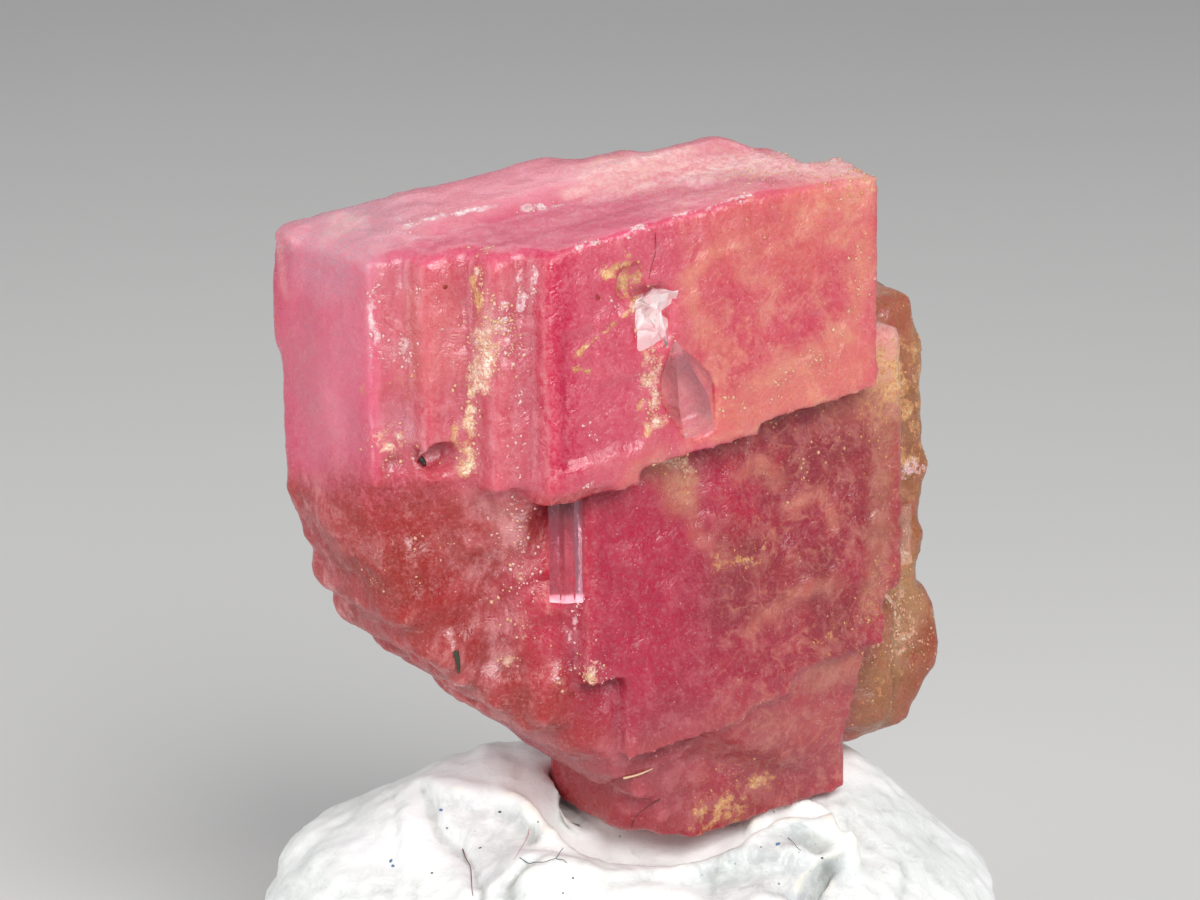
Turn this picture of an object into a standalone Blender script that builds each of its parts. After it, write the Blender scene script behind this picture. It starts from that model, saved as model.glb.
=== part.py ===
"""Rhodochrosite specimen: one stepped, rose-pink crystal with four small clear
quartz crystals in its hollows, pressed into a lump of white mounting putty.

+Z is up. The origin is the centre of the putty's flat underside, and the
crystal's stepped front faces -Y.

The crystal is a stack of growth blocks. Every block is a parallelepiped whose
edges run along the three polar edges of a rhodochrosite rhombohedron: R goes
right and back, L goes left and back, V goes up. Positions inside the crystal are
written as (r, l, v), along those edges from the sharp top front corner. All
sizes below are millimetres, and the finished pieces are scaled to metres.
"""

import math
import random

import bmesh
import bpy
from mathutils import Matrix, Vector, noise

MM = 0.001

# Lattice: the angle between two cleavage faces, and how the crystal is held.
CLEAVAGE_ANGLE = math.radians(107.0)
SPIN = math.radians(3.0)        # turn about the threefold axis
PITCH = math.radians(33.5)      # the threefold axis rises this much
HEADING = math.radians(-14.0)   # and points this far to the left of the front

# The top front corner, where the three polar edges meet.
TOP_CORNER = Vector((-1.34, -3.60, 16.60))

# The upper block, the boldest step of the crystal.
UPPER_WIDTH = 6.92
UPPER_DEPTH = 2.95
UPPER_DROP = 4.22

# Putty.
PUTTY_CENTRE = Vector((0.2, 0.0, 1.75))
PUTTY_RADII = Vector((7.45, 6.50, 4.15))
PUTTY_SEGMENTS = 40
PUTTY_RINGS = 24
# Uneven swelling of the putty's skin, as a share of its radii: (share, waves
# per radius, shift of the waves).
PUTTY_SWELLS = (
    (0.10, 2.1, Vector((3.1, 0.4, 7.7))),
    (0.04, 4.6, Vector((1.3, 9.2, 2.5))),
)
# Rises and dents of the putty's top: (x, y, reach, height).
PUTTY_RISES = (
    (-2.6, -0.6, 1.9, 0.60),
    (4.6, 0.6, 2.3, 1.35),
    (2.9, -4.4, 1.0, 0.95),
    (-1.3, -4.2, 1.1, 0.50),
    (1.2, -2.2, 1.9, -0.95),
    (-0.9, -2.6, 0.8, -0.50),
)
SEAT_GAP = 0.05     # clear space between the crystal and its seat
POCKET_GAP = 0.02   # clear space around each quartz crystal

# Growth blocks: (r from, r to, l from, l to, v from, v to).
UPPER_BLOCKS = (
    (0.0, 5.75, 0.0, UPPER_DEPTH, -UPPER_DROP, 0.0),
    (2.0, 6.1, 0.02, 2.10, -UPPER_DROP - 0.03, -0.02),
    (4.0, UPPER_WIDTH, 0.01, 1.05, -UPPER_DROP - 0.05, -0.04),
    (-0.05, 1.90, -0.04, 1.50, -4.72, -4.02),
    (1.70, 4.40, 0.03, 1.60, -4.46, -3.90),
    (-0.74, 3.00, 0.53, 3.90, -4.35, -0.03),
    (-1.62, 2.50, 1.20, 4.05, -4.10, -0.01),
    (-2.30, -0.90, 1.79, 4.86, -2.40, 0.02),
    (-1.10, 0.50, 1.85, 4.36, -2.70, 0.01),
    (-2.28, 0.60, 1.83, 4.60, -4.20, -0.50),
)
# Thin layers that stand a little above the rest of the top face.
TOP_LAYERS = (
    (-1.60, 0.30, 2.60, 4.30, -1.0, 0.06),
    (0.00, 2.85, 2.05, 4.02, -1.0, 0.10),
    (2.00, 4.10, 1.92, 3.46, -1.0, 0.09),
    (3.60, 5.72, 1.86, 2.98, -1.0, 0.07),
)
# The rough left flank, which steps down and inwards.
FLANK_BLOCKS = (
    (-2.26, 2.0, 2.15, 4.56, -5.25, -1.0),
    (-2.02, 2.0, 2.02, 4.50, -5.95, -1.0),
    (-1.72, 2.0, 1.92, 4.52, -6.90, -1.0),
    (-1.20, 2.5, 2.10, 4.75, -7.72, -3.0),
    (-0.50, 3.0, 1.96, 4.68, -8.38, -3.0),
    (0.07, 3.2, 1.80, 4.62, -8.90, -3.0),
    (0.67, 4.0, 1.70, 4.66, -9.52, -3.0),
    (1.48, 4.2, 1.75, 4.60, -10.15, -3.0),
    (2.12, 4.4, 1.90, 4.64, -10.68, -3.0),
    (2.45, 5.0, 2.00, 4.58, -11.10, -3.0),
    (3.05, 6.2, 2.30, 4.52, -12.35, -3.0),
)
# The face under the upper block and the ledges that end it.
LOWER_BLOCKS = (
    (1.30, 8.00, 0.75, 3.10, -8.55, -3.60),
    (2.30, 7.60, 0.73, 3.00, -9.50, -7.0),
    (2.22, 5.60, 0.77, 3.00, -9.90, -8.0),
    (2.14, 4.65, 0.79, 3.00, -10.14, -8.0),
    (0.30, 3.00, 1.33, 3.00, -8.10, -4.0),
)
# The stair that runs down to the lowest tip: each step's back corner is (r, l, v).
STAIR_FRONT = 1.25
STAIR_BACK_OFF = 0.07
STAIR_RUN = 1.5
STAIR = (
    (0.66, 1.68, -9.20),
    (1.45, 2.06, -9.88),
    (1.90, 2.02, -10.22),
    (2.32, 2.26, -10.80),
    (2.80, 2.40, -11.40),
    (3.32, 2.38, -11.98),
    (3.70, 2.12, -12.36),
)
TIP_BLOCK = (4.00, 7.38, 1.62, 3.60, -12.52, -8.0)
# The crusted layer on the right edge.
RIGHT_BLOCKS = (
    (6.0, 9.46, 2.30, 4.00, -9.60, -3.78),
    (6.0, 9.66, 2.40, 3.80, -7.95, -4.60),
    (6.0, 9.80, 2.25, 3.70, -7.35, -6.95),
    (6.0, 9.98, 2.32, 3.95, -11.20, -9.80),
    (6.0, 9.72, 2.45, 3.85, -11.70, -9.50),
    (6.0, 9.34, 2.28, 3.90, -12.02, -9.0),
    (6.5, 8.60, 1.85, 3.50, -11.60, -9.3),
)
BACK_BLOCKS = (
    (0.20, 6.10, 3.00, 5.15, -8.50, -1.45),
    (1.80, 6.60, 2.80, 5.00, -10.30, -2.0),
    (1.30, 5.40, 4.80, 6.10, -9.10, -2.75),
    (2.10, 4.60, 5.90, 6.75, -7.90, -3.90),
    (4.20, 8.40, 3.20, 4.70, -10.90, -3.10),
    (0.00, 6.90, 2.40, 4.10, -8.20, -0.60),
)
# Broken corners: three (r, l, v) points of each break plane. What lies beyond
# the plane, on the side of the fourth point, is gone.
BROKEN_CORNERS = (
    ((4.20, 0.0, 0.02), (5.95, 1.80, 0.05), (6.92, 0.0, -0.34), (6.92, 1.0, 0.5)),
    ((-2.30, 1.90, 0.05), (-1.50, 4.20, 0.08), (-2.30, 4.90, -0.26), (-2.4, 4.5, 0.4)),
)
BREAK_REACH = 4.0   # how far each break takes material away

# Small ledges scattered on a face: (the edge that leaves the face, where the face
# lies on it, whether the face looks along it (+1) or against it (-1), span along
# the first other edge, span along the second, how many).
SMALL_LEDGES = (
    ("l", 1.20, -1, (-1.4, -0.8), (-3.8, -0.4), 4),
    ("l", 0.53, -1, (-0.7, -0.1), (-4.0, -0.3), 5),
    ("l", 1.79, -1, (-2.2, -1.7), (-4.0, -0.6), 4),
    ("r", -2.28, -1, (2.2, 4.2), (-3.9, -0.7), 5),
    ("l", 1.95, -1, (-1.2, 0.4), (-7.6, -4.6), 9),
    ("r", -1.68, -1, (2.2, 4.2), (-6.6, -4.6), 4),
    ("l", 1.72, -1, (0.5, 2.0), (-9.2, -5.0), 5),
    ("l", 0.75, -1, (5.0, 7.6), (-8.2, -4.8), 5),
    ("l", 2.30, -1, (8.2, 9.3), (-11.4, -4.2), 9),
    ("l", 5.15, 1, (0.8, 5.6), (-8.0, -2.0), 8),
    ("l", 6.10, 1, (1.8, 5.0), (-8.6, -3.2), 6),
    ("r", 9.46, 1, (2.6, 3.8), (-9.2, -4.4), 5),
)
LEDGE_SIZE = (0.20, 0.65)
LEDGE_HEIGHT = (0.03, 0.08)
LEDGE_ROOT = 0.35
LEDGE_SEED = 107

# Hollows: (r from, r to, l from, l to, v from, v to).
HOLLOWS = (
    (-1.60, -0.95, 0.9, 1.75, -4.05, -3.45),
    (1.42, 2.00, -0.3, 0.20, -1.25, -0.60),
    (1.82, 2.50, -0.3, 0.28, -2.05, -1.16),
)

# Quartz crystals: centre as (r, l, v), then sizes.
HEXAGON_TURN = math.radians(20.0)
POINT_CENTRE = (2.86, 0.16, -3.22)
POINT_RADIUS = 0.56
POINT_PRISM = 0.75
POINT_PYRAMID = 1.05
POINT_POCKET_APEX = 1.6     # the pocket's apex rises this much more than its sides spread
POINT_TILT = (math.radians(24.0), math.radians(-9.0))
GRAIN_CENTRE = (2.18, 0.16, -1.72)
GRAIN_SIZE = (0.46, 0.44, 0.86)
PRISM_CENTRE = (0.93, 0.86, -5.55)
PRISM_RADIUS = 0.34
PRISM_LENGTH = 1.90
BLOCK_CENTRE = (9.02, 2.36, -8.25)
BLOCK_SIZE = (0.42, 0.50, 1.05)


def crystal_edges():
    """Unit vectors along the polar edges R, L and V, from the lattice angles."""
    cosine = math.cos(CLEAVAGE_ANGLE)
    face_angle_cosine = cosine / (1.0 - cosine)
    lean = math.acos(math.sqrt((face_angle_cosine + 0.5) / 1.5))
    turn = (Matrix.Rotation(HEADING, 3, "Z")
            @ Matrix.Rotation(math.pi / 2 - PITCH, 3, "X")
            @ Matrix.Rotation(SPIN, 3, "Z"))
    edges = []
    for azimuth in (30.0, 150.0, -90.0):
        angle = math.radians(azimuth)
        edges.append(turn @ Vector((math.sin(lean) * math.cos(angle),
                                    math.sin(lean) * math.sin(angle),
                                    -math.cos(lean))))
    right, left, down = edges
    return right, left, -down


EDGE_R, EDGE_L, EDGE_V = crystal_edges()
# Takes (r, l, v) to the object's own frame. Blocks are joined and cut in (r, l, v),
# where their faces are square to each other and exactly flat.
LATTICE = Matrix.Translation(TOP_CORNER) @ Matrix((EDGE_R, EDGE_L, EDGE_V)).transposed().to_4x4()


def material(name, colour, roughness, transmission=0.0, ior=1.5):
    finish = bpy.data.materials.new(name)
    finish.use_nodes = True
    surface = finish.node_tree.nodes["Principled BSDF"]
    surface.inputs["Base Color"].default_value = (*colour, 1.0)
    surface.inputs["Roughness"].default_value = roughness
    surface.inputs["Transmission Weight"].default_value = transmission
    surface.inputs["IOR"].default_value = ior
    return finish


def solid(name, points, faces):
    """An object from points, with its faces turned outwards."""
    mesh = bpy.data.meshes.new(name)
    mesh.from_pydata([tuple(point) for point in points], [], faces)
    shape = bmesh.new()
    shape.from_mesh(mesh)
    bmesh.ops.recalc_face_normals(shape, faces=shape.faces)
    shape.to_mesh(mesh)
    shape.free()
    thing = bpy.data.objects.new(name, mesh)
    bpy.context.scene.collection.objects.link(thing)
    return thing


BOX_FACES = [(0, 1, 3, 2), (4, 6, 7, 5), (0, 4, 5, 1),
             (2, 3, 7, 6), (0, 2, 6, 4), (1, 5, 7, 3)]


def growth_block(span, grow=0.0):
    """One block in (r, l, v), grown by a margin if asked."""
    r_from, r_to, l_from, l_to, v_from, v_to = span
    points = [(r, l, v)
              for r in (r_from - grow, r_to + grow)
              for l in (l_from - grow, l_to + grow)
              for v in (v_from - grow, v_to + grow)]
    return solid("growth_block", points, BOX_FACES)


def joined_blocks(spans, grow=0.0):
    """The union of several growth blocks."""
    whole = growth_block(spans[0], grow)
    for span in spans[1:]:
        combine(whole, growth_block(span, grow), "UNION")
    return whole


def combine(thing, tool, operation):
    """Join or cut a thing with a tool, which is used up."""
    step = thing.modifiers.new(operation, "BOOLEAN")
    step.operation = operation
    step.object = tool
    step.solver = "EXACT"
    graph = bpy.context.evaluated_depsgraph_get()
    result = bpy.data.meshes.new_from_object(thing.evaluated_get(graph))
    thing.modifiers.clear()
    thing.data = result
    bpy.data.objects.remove(tool)


def stair_blocks():
    """Blocks of the stair that leads down to the tip."""
    return [(r, r + STAIR_RUN, STAIR_FRONT + STAIR_BACK_OFF * step, l, v, v + 2 * STAIR_RUN)
            for step, (r, l, v) in enumerate(STAIR)]


def small_ledges():
    """Low ledges of random size, each rooted in the face it stands on."""
    dice = random.Random(LEDGE_SEED)
    spans = []
    for edge, face, outwards, first_span, second_span, count in SMALL_LEDGES:
        for _ in range(count):
            first = dice.uniform(*first_span)
            second = dice.uniform(*second_span)
            wide = dice.uniform(*LEDGE_SIZE)
            tall = dice.uniform(*LEDGE_SIZE)
            high = dice.uniform(*LEDGE_HEIGHT)
            near, far = sorted((face + outwards * high, face - outwards * LEDGE_ROOT))
            along = (first, first + wide)
            up = (second - tall, second)
            if edge == "l":
                spans.append((*along, near, far, *up))
            else:
                spans.append((near, far, *along, *up))
    return spans


def break_tool(points):
    """A slab that lies beyond a break plane and takes a corner away."""
    first, second, third, gone = (Vector(point) for point in points)
    normal = (second - first).cross(third - first).normalized()
    if normal.dot(gone - first) < 0.0:
        normal = -normal
    centre = (first + second + third) / 3.0 + normal * BREAK_REACH / 2.0
    slab = solid("break", box_points(BREAK_REACH * 2.0, BREAK_REACH * 2.0, BREAK_REACH), BOX_FACES)
    place = normal.to_track_quat("Z", "Y").to_matrix().to_4x4()
    slab.data.transform(Matrix.Translation(centre) @ place)
    return slab


def box_points(wide, deep, tall):
    """Corners of a box about the origin."""
    return [Vector((x, y, z))
            for x in (-wide / 2, wide / 2)
            for y in (-deep / 2, deep / 2)
            for z in (-tall / 2, tall / 2)]


def hexagon(radius, height):
    """Six corners of a level hexagon."""
    angles = [HEXAGON_TURN + math.tau * k / 6 for k in range(6)]
    return [Vector((radius * math.cos(angle), radius * math.sin(angle), height)) for angle in angles]


def quartz_point(name, grow=0.0):
    """A six-sided prism that ends in a pyramid."""
    radius = POINT_RADIUS + grow
    foot = -POINT_PRISM - grow
    apex = Vector((0.0, 0.0, POINT_PYRAMID + POINT_POCKET_APEX * grow))
    points = hexagon(radius, foot) + hexagon(radius, 0.0) + [apex]
    faces = [tuple(range(6))]
    for k in range(6):
        after = (k + 1) % 6
        faces.append((k, after, 6 + after, 6 + k))
        faces.append((6 + k, 6 + after, 12))
    crystal = solid(name, points, faces)
    lean, roll = POINT_TILT
    turn = Matrix.Rotation(roll, 4, "Y") @ Matrix.Rotation(lean, 4, "X")
    place = Matrix.Translation(LATTICE @ Vector(POINT_CENTRE)) @ turn
    crystal.data.transform(LATTICE.inverted() @ place)
    return crystal


def quartz_prism(name, grow=0.0):
    """A six-sided prism with flat ends, standing along V."""
    radius = PRISM_RADIUS + grow
    half = PRISM_LENGTH / 2 + grow
    points = hexagon(radius, -half) + hexagon(radius, half)
    faces = [tuple(range(6)), tuple(range(6, 12))]
    for k in range(6):
        after = (k + 1) % 6
        faces.append((k, after, 6 + after, 6 + k))
    crystal = solid(name, points, faces)
    turn = EDGE_V.to_track_quat("Z", "Y").to_matrix().to_4x4()
    place = Matrix.Translation(LATTICE @ Vector(PRISM_CENTRE)) @ turn
    crystal.data.transform(LATTICE.inverted() @ place)
    return crystal


def quartz_slab(name, centre, size, grow=0.0):
    """A blocky quartz fragment that lies along the crystal's edges."""
    span = []
    for middle, length in zip(centre, size):
        span += [middle - length / 2, middle + length / 2]
    fragment = growth_block(span, grow)
    fragment.name = name
    return fragment


def quartz_shapes(grow=0.0):
    """The four quartz crystals in (r, l, v), or their pockets if grown."""
    return [
        quartz_point("quartz_point", grow),
        quartz_slab("quartz_grain", GRAIN_CENTRE, GRAIN_SIZE, grow),
        quartz_prism("quartz_prism", grow),
        quartz_slab("quartz_block", BLOCK_CENTRE, BLOCK_SIZE, grow),
    ]


def build_crystal():
    """The rhodochrosite: blocks joined, corners broken, hollows and pockets cut."""
    spans = list(UPPER_BLOCKS + TOP_LAYERS + FLANK_BLOCKS + LOWER_BLOCKS)
    spans += stair_blocks() + [TIP_BLOCK]
    spans += list(RIGHT_BLOCKS + BACK_BLOCKS)
    spans += small_ledges()
    crystal = joined_blocks(spans)
    crystal.name = "rhodochrosite_crystal"
    for points in BROKEN_CORNERS:
        combine(crystal, break_tool(points), "DIFFERENCE")
    for span in HOLLOWS:
        combine(crystal, growth_block(span), "DIFFERENCE")
    for pocket in quartz_shapes(POCKET_GAP):
        combine(crystal, pocket, "DIFFERENCE")
    return crystal


def putty_skin(direction):
    """The point of the putty's skin that lies along a direction from its centre."""
    share = 1.0 + sum(swell * noise.noise(direction * waves + shift)
                      for swell, waves, shift in PUTTY_SWELLS)
    point = PUTTY_CENTRE + Vector([share * a * b for a, b in zip(direction, PUTTY_RADII)])
    upward = max(0.0, direction.z)
    for x, y, reach, height in PUTTY_RISES:
        away = math.hypot(point.x - x, point.y - y) / reach
        point.z += upward * height * math.exp(-away * away)
    return point


def build_putty():
    """A hand-pressed lump with a flat underside and a seat for the crystal."""
    shape = bmesh.new()
    bmesh.ops.create_uvsphere(shape, u_segments=PUTTY_SEGMENTS,
                              v_segments=PUTTY_RINGS, radius=1.0)
    for point in shape.verts:
        point.co = putty_skin(point.co.normalized())
    everything = list(shape.verts) + list(shape.edges) + list(shape.faces)
    cut = bmesh.ops.bisect_plane(shape, geom=everything, plane_co=(0, 0, 0),
                                 plane_no=(0, 0, 1), clear_inner=True)
    rim = [part for part in cut["geom_cut"] if isinstance(part, bmesh.types.BMEdge)]
    bmesh.ops.contextual_create(shape, geom=rim)
    bmesh.ops.triangulate(shape, faces=[face for face in shape.faces if len(face.verts) > 4])
    bmesh.ops.recalc_face_normals(shape, faces=shape.faces)
    mesh = bpy.data.meshes.new("mounting_putty")
    shape.to_mesh(mesh)
    shape.free()
    putty = bpy.data.objects.new("mounting_putty", mesh)
    bpy.context.scene.collection.objects.link(putty)
    seat = joined_blocks(stair_blocks() + [TIP_BLOCK] + list(FLANK_BLOCKS + RIGHT_BLOCKS), SEAT_GAP)
    seat.data.transform(LATTICE)
    combine(putty, seat, "DIFFERENCE")
    return putty


def main():
    for thing in list(bpy.data.objects):
        bpy.data.objects.remove(thing)
    rose = material("rose rhodochrosite", (0.72, 0.16, 0.20), 0.28)
    clear = material("clear quartz", (0.93, 0.88, 0.88), 0.05, 1.0, 1.55)
    white = material("white putty", (0.78, 0.79, 0.76), 0.65)
    to_metres = Matrix.Scale(MM, 4)
    pieces = [(build_crystal(), rose, to_metres @ LATTICE)]
    pieces += [(crystal, clear, to_metres @ LATTICE) for crystal in quartz_shapes()]
    pieces.append((build_putty(), white, to_metres))
    for piece, finish, place in pieces:
        piece.data.transform(place)
        piece.data.materials.append(finish)


main()
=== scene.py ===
"""The looks of the rhodochrosite specimen: a stepped rose crystal, four quartz
crystals and a lump of white putty. Lengths are millimetres unless a name says
otherwise; finished pieces are scaled to metres. Places on the crystal are
(r, l, v): along its own edges R, L and V, from the sharp top front corner."""

import math
import random
from contextlib import contextmanager

import bmesh
import bpy
import numpy as np
from mathutils import Matrix, Vector, noise
from mathutils.bvhtree import BVHTree


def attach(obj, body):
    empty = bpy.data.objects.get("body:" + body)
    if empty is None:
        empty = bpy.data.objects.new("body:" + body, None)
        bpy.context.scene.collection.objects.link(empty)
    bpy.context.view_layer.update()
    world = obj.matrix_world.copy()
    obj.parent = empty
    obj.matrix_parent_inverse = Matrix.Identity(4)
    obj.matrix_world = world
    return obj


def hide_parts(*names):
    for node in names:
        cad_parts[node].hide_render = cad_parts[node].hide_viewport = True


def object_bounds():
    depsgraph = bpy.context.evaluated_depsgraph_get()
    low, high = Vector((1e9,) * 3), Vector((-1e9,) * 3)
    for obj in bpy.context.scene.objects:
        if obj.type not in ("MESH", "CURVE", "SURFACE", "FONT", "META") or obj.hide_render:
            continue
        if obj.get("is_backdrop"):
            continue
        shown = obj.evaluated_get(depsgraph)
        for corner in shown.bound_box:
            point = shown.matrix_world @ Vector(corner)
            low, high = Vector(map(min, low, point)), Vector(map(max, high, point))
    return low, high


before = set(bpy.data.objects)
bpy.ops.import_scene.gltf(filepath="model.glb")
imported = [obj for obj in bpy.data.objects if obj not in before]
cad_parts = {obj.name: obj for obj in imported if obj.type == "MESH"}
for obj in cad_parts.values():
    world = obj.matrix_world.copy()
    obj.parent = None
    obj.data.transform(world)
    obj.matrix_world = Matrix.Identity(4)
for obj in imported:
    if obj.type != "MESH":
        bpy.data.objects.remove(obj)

CAD_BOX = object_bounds()
MM = 0.001
RANDOM_SEED = 41

# The crystal's own edges, as in the part.
CLEAVAGE_ANGLE = math.radians(107.0)
SPIN = math.radians(3.0)
PITCH = math.radians(33.5)
HEADING = math.radians(-14.0)
TOP_CORNER = Vector((-1.34, -3.60, 16.60))

# Camera.
VIEW_ELEVATION = math.radians(14.0)
VIEW_AHEAD = Vector((0.0, math.cos(VIEW_ELEVATION), -math.sin(VIEW_ELEVATION)))
VIEW_UP = Vector((0.0, math.sin(VIEW_ELEVATION), math.cos(VIEW_ELEVATION)))
VIEW_DISTANCE = 82.0
VIEW_WIDTH = 21.6
VIEW_CENTRE = Vector((-0.386, -4.449, 13.194))
VIEW_PIXELS = (1200, 900)

# Mesh fineness, and rounds of smoothing over the new mesh.
CRYSTAL_VOXEL = 0.082
CRYSTAL_ROUNDING = 5
PUTTY_VOXEL = 0.11
PUTTY_ROUNDING = 6
COARSER = 1.0


# ---------------- geometry

def crystal_edges():
    """Unit vectors along the polar edges R, L and V, from the lattice angles."""
    cosine = math.cos(CLEAVAGE_ANGLE)
    face_angle_cosine = cosine / (1.0 - cosine)
    lean = math.acos(math.sqrt((face_angle_cosine + 0.5) / 1.5))
    turn = (Matrix.Rotation(HEADING, 3, "Z")
            @ Matrix.Rotation(math.pi / 2 - PITCH, 3, "X")
            @ Matrix.Rotation(SPIN, 3, "Z"))
    edges = []
    for azimuth in (30.0, 150.0, -90.0):
        angle = math.radians(azimuth)
        edges.append(turn @ Vector((math.sin(lean) * math.cos(angle),
                                    math.sin(lean) * math.sin(angle),
                                    -math.cos(lean))))
    right, left, down = edges
    return right, left, -down


LATTICE = Matrix.Translation(TOP_CORNER) @ Matrix(crystal_edges()).transposed().to_4x4()
LATTICE_INVERSE = LATTICE.inverted()


def link(name, mesh):
    thing = bpy.data.objects.new(name, mesh)
    bpy.context.scene.collection.objects.link(thing)
    return thing


@contextmanager
def editing(mesh):
    """The mesh as a bmesh, written back when the block ends."""
    shape = bmesh.new()
    shape.from_mesh(mesh)
    yield shape
    shape.to_mesh(mesh)
    shape.free()


def baked(thing):
    """The thing with its modifiers applied."""
    graph = bpy.context.evaluated_depsgraph_get()
    mesh = bpy.data.meshes.new_from_object(thing.evaluated_get(graph))
    thing.modifiers.clear()
    thing.data = mesh
    return thing


def node_copy(node, name):
    """A copy of a CAD node as a new piece, in millimetres."""
    thing = link(name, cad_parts[node].data.copy())
    thing.data.materials.clear()
    thing.data.transform(Matrix.Scale(1.0 / MM, 4))
    return thing


def remesh(thing, voxel, rounding):
    """Mesh a closed shape finely and evenly, and soften its edges."""
    fine = thing.modifiers.new("fine", "REMESH")
    fine.mode = "VOXEL"
    fine.voxel_size = voxel * COARSER
    soften = thing.modifiers.new("soften", "SMOOTH")
    soften.factor = 0.5
    soften.iterations = rounding
    baked(thing)


def finish_piece(thing, finish, slot, *nodes):
    """Scale a piece to metres, give it its material and tie it to the frame."""
    thing.data.transform(Matrix.Scale(MM, 4))
    thing.data.materials.clear()
    thing.data.materials.append(finish)
    for face in thing.data.polygons:
        face.use_smooth = True
    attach(thing, "root")
    if nodes:
        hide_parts(*nodes)


def vertex_arrays(mesh):
    """The mesh's points and normals, a row for each vertex."""
    points, normals = np.empty((2, len(mesh.vertices) * 3))
    mesh.vertices.foreach_get("co", points)
    mesh.vertices.foreach_get("normal", normals)
    return points.reshape(-1, 3), normals.reshape(-1, 3)


def moved(mesh, points):
    """The points and normals of the mesh after its vertices move to new points."""
    mesh.vertices.foreach_set("co", points.ravel())
    mesh.update()
    return vertex_arrays(mesh)


def add_layer(mesh, name, values):
    """Keep a number or a vector for each vertex, for the material to read."""
    values = np.asarray(values, dtype=np.float32)
    kind, key = ("FLOAT_VECTOR", "vector") if values.ndim == 2 else ("FLOAT", "value")
    mesh.attributes.new(name, kind, "POINT").data.foreach_set(key, values.ravel())


class Neighbours:
    """Averages over the vertices that share an edge."""

    def __init__(self, mesh):
        ends = np.empty(len(mesh.edges) * 2, dtype=np.int64)
        mesh.edges.foreach_get("vertices", ends)
        near, far = ends.reshape(-1, 2).T
        self.own = np.concatenate((near, far))
        self.other = np.concatenate((far, near))
        self.size = len(mesh.vertices)
        self.count = np.maximum(np.bincount(self.own, minlength=self.size), 1)

    def mean(self, values):
        if values.ndim == 2:
            return np.stack([self.mean(column) for column in values.T], axis=1)
        return np.bincount(self.own, values[self.other], self.size) / self.count


def relaxed(points, neighbours, share, rounds):
    """Points smoothed towards their neighbours' mean, by a share at each point."""
    for _ in range(rounds):
        points = points + (neighbours.mean(points) - points) * share[:, None]
    return points


EDGE_BULGE = 0.02


def convexity(points, normals, neighbours):
    """0 in a hollow, 0.5 on a flat face and 1 on an edge or tip."""
    bulge = ((points - neighbours.mean(points)) * normals).sum(1)
    for _ in range(3):
        bulge = (bulge + neighbours.mean(bulge)) / 2.0
    return np.clip(bulge / EDGE_BULGE, -1.0, 1.0) * 0.5 + 0.5


def step(start, end, values):
    """A smooth change from 0 at start to 1 at end, which may be the lower of the two."""
    share = np.clip((values - start) / (end - start), 0.0, 1.0)
    return share * share * (3.0 - 2.0 * share)


def between(low, high, soft, values):
    """1 between low and high, falling to 0 outside over a soft margin."""
    return step(low - soft, low, values) * step(high + soft, high, values)


def region(measures, *limits):
    """The product of limits. Each is a number, the name of a measure, or (name, start,
    end, share at the start, share at the end), with shares 0 and 1 where none are given."""
    share = 1.0
    for limit in limits:
        if isinstance(limit, tuple):
            name, start, end, first, last = (*limit, 0.0, 1.0)[:5]
            limit = first + (last - first) * step(start, end, measures[name])
        share = share * (measures[limit] if isinstance(limit, str) else limit)
    return share


def noise_field(points, scale, offset, octaves=1):
    """Smooth noise, about -1 to 1, at each point; scale may differ by axis."""
    places = points * np.asarray(scale) + offset
    if octaves == 1:
        return np.array([noise.noise(place) for place in places])
    return np.array([noise.fractal(place, 1.0, 2.0, octaves) for place in places])


def distance_to_path(points, path):
    """Distance from each point to a path of one or more points."""
    corners = np.asarray(path, dtype=float)
    if len(corners) == 1:
        return np.linalg.norm(points - corners[0], axis=1)
    nearest = np.full(len(points), np.inf)
    for start, end in zip(corners[:-1], corners[1:]):
        along = end - start
        share = np.clip(((points - start) @ along) / (along @ along), 0.0, 1.0)
        gap = np.linalg.norm(points - start - share[:, None] * along, axis=1)
        nearest = np.minimum(nearest, gap)
    return nearest


def side_lengths(path):
    """The length of each straight side of a path."""
    return [(Vector(end) - Vector(start)).length for start, end in zip(path[:-1], path[1:])]


def path_point(path, share):
    """The point a share of the way along a path."""
    lengths = side_lengths(path)
    left = share * sum(lengths)
    for start, end, length in zip(path[:-1], path[1:], lengths):
        if left <= length:
            return Vector(start).lerp(Vector(end), left / length)
        left -= length
    return Vector(path[-1])


# ---------------- places named by view
# Small things are placed by where they show in the scene camera's own view.

def surface_tree(*things):
    """One search tree over the faces of several pieces."""
    points, faces = [], []
    for thing in things:
        first = len(points)
        points += [vertex.co for vertex in thing.data.vertices]
        faces += [[first + index for index in face.vertices] for face in thing.data.polygons]
    return BVHTree.FromPolygons(points, faces)


def surface_at(tree, pixel):
    """The point and normal of the surface that shows at a pixel of the view."""
    size = VIEW_WIDTH / VIEW_PIXELS[0]
    across = (pixel[0] - VIEW_PIXELS[0] / 2) * size
    above = (VIEW_PIXELS[1] / 2 - pixel[1]) * size
    ray = (VIEW_AHEAD * VIEW_DISTANCE + Vector((across, 0.0, 0.0)) + VIEW_UP * above).normalized()
    return tree.ray_cast(VIEW_CENTRE - VIEW_AHEAD * VIEW_DISTANCE, ray)[:2]


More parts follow.
